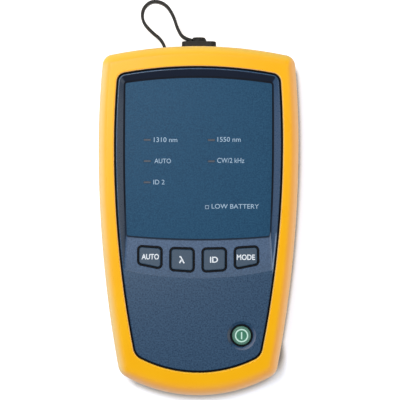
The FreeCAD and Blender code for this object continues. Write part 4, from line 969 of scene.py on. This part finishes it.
def make_print():
    """Printed words and signs on the label, the keys and the power button."""
    label_ink = printed_ink("label_ink", (168, 193, 215), (126, 157, 187))
    key_ink = printed_ink("key_ink", (233, 239, 245), (190, 203, 216))
    power_ink = printed_ink("power_ink", (205, 240, 228), (160, 208, 192))
    piece("label_print", label_print, label_ink, "case")
    for carrier, body, text, box in KEY_LEGENDS:
        piece(
            carrier + "_print",
            lambda shape: key_print(shape, carrier, text, box),
            key_ink,
            body,
        )
    piece("power_print", power_print, power_ink, "power_key")


def contact_shadow(finish):
    """How dark the floor is close to the boot, on the sides away from the light."""
    contact = finish.add("ShaderNodeAmbientOcclusion", samples=16)
    finish.link(finish.span(finish.y, *CONTACT_TURN, *CONTACT_REACH), contact.inputs["Distance"])
    right = finish.both(finish.span(finish.x, *LEE_RIGHT), finish.span(finish.y, *LEE_TOP))
    below = finish.both(finish.span(finish.y, *LEE_LOWER), finish.span(finish.x, *LEE_LEFT))
    near = finish.span(contact.outputs["AO"], *CONTACT_OPENNESS, 0.0, CONTACT_DEPTH)
    return finish.both(finish.either(right, below), near)


def floor_paper():
    """White paper that glows to the camera, keeps the object's shadow and is clear from below."""
    finish = Finish("floor_paper", Roughness=0.9, Specular_IOR_Level=0.0)
    dark = contact_shadow(finish)
    open_share = finish.minus(1.0, dark)
    paper = finish.mix(finish.cloud(finish.noise(60)), *PAPER_TONES)
    finish.colour(finish.mix(open_share, (0, 0, 0, 1), paper))

    rays = finish.add("ShaderNodeLightPath").outputs
    seen = finish.either(rays["Is Camera Ray"], rays["Is Glossy Ray"], rays["Is Transmission Ray"])
    distance = finish.vectors("DISTANCE", finish.place, (0, 0, 0))
    strength = finish.span(distance, *GLOW_DISTANCE, *GLOW_STRENGTH)
    lit_tint = finish.mix(finish.span(finish.y, *PAST_TOP), GLOW_BY_BOOT, GLOW_PAST_TOP)
    tint = finish.mix(finish.span(dark, 0.0, 0.5), lit_tint, GLOW_IN_SHADOW)
    glow = finish.add("ShaderNodeEmission")
    finish.link(tint, glow.inputs["Color"])
    finish.link(finish.both(seen, strength, open_share), glow.inputs["Strength"])

    front = finish.add("ShaderNodeAddShader")
    finish.link(finish.shader.outputs["BSDF"], front.inputs[0])
    finish.link(glow.outputs["Emission"], front.inputs[1])
    back = finish.add("ShaderNodeBsdfTransparent")
    sided = finish.add("ShaderNodeMixShader")
    finish.link(finish.add("ShaderNodeNewGeometry").outputs["Backfacing"], sided.inputs["Fac"])
    finish.link(front.outputs["Shader"], sided.inputs[1])
    finish.link(back.outputs["BSDF"], sided.inputs[2])
    finish.link(sided.outputs["Shader"], finish.output.inputs["Surface"])
    return finish.material


def make_floor():
    """Floor under the object, which throws no shadow on it from the lamp below."""
    mesh = bpy.data.meshes.new("floor")
    shape = bmesh.new()
    bmesh.ops.create_grid(shape, x_segments=1, y_segments=1, size=FLOOR_HALF)
    shape.to_mesh(mesh)
    shape.free()
    mesh.materials.append(floor_paper())
    floor = bpy.data.objects.new("floor", mesh)
    bpy.context.scene.collection.objects.link(floor)
    floor.location.z = -FLOOR_GAP
    floor.visible_shadow = False


def area_lamp(name, towards, distance, width, share):
    """Soft square lamp in a direction from its target, giving a share of full white on a level surface."""
    towards = Vector(towards).normalized()
    lamp = bpy.data.lights.new(name, "AREA")
    lamp.shape = "SQUARE"
    lamp.size = width
    lamp.energy = share * (math.pi * distance) ** 2 / abs(towards.z)
    holder = bpy.data.objects.new(name, lamp)
    holder.location = LAMP_TARGET + towards * distance
    holder.rotation_euler = towards.to_track_quat("Z", "Y").to_euler()
    bpy.context.scene.collection.objects.link(holder)


def make_light():
    """Lamps, and a white world that lights the object less than it shows to the camera."""
    for lamp in LAMPS:
        area_lamp(*lamp)
    world = bpy.data.worlds.new("studio")
    bpy.context.scene.world = world
    world.use_nodes = True
    tree = world.node_tree
    tree.nodes.clear()
    choice = tree.nodes.new("ShaderNodeMixShader")
    for socket, strength in ((choice.inputs[1], WORLD_LIGHT), (choice.inputs[2], WORLD_SEEN)):
        white = tree.nodes.new("ShaderNodeBackground")
        white.inputs["Color"].default_value = (1, 1, 1, 1)
        white.inputs["Strength"].default_value = strength
        tree.links.new(white.outputs["Background"], socket)
    rays = tree.nodes.new("ShaderNodeLightPath")
    output = tree.nodes.new("ShaderNodeOutputWorld")
    tree.links.new(rays.outputs["Is Camera Ray"], choice.inputs["Fac"])
    tree.links.new(choice.outputs["Shader"], output.inputs["Surface"])


def make_camera():
    """Camera straight above, the port end up in the picture."""
    lens = bpy.data.cameras.new("camera")
    lens.sensor_width = SENSOR
    lens.lens = SENSOR * (CAMERA_HEIGHT - FACE_LEVEL) / VIEW_WIDTH
    lens.clip_start = CLIP_START
    camera = bpy.data.objects.new("camera", lens)
    camera.location = (CAMERA_X, CAMERA_Y, CAMERA_HEIGHT)
    camera.rotation_euler = (0, 0, math.radians(CAMERA_ROLL))
    bpy.context.scene.collection.objects.link(camera)
    bpy.context.scene.camera = camera


bpy.context.scene.view_settings.view_transform = "Standard"
cap_rubber, door_finish = dress_outside()
dress_inside()
piece("door_ribs", door_ribs, door_finish, "door", smooth=True)
make_strap(cap_rubber)
make_print()
make_floor()
make_light()
make_camera()
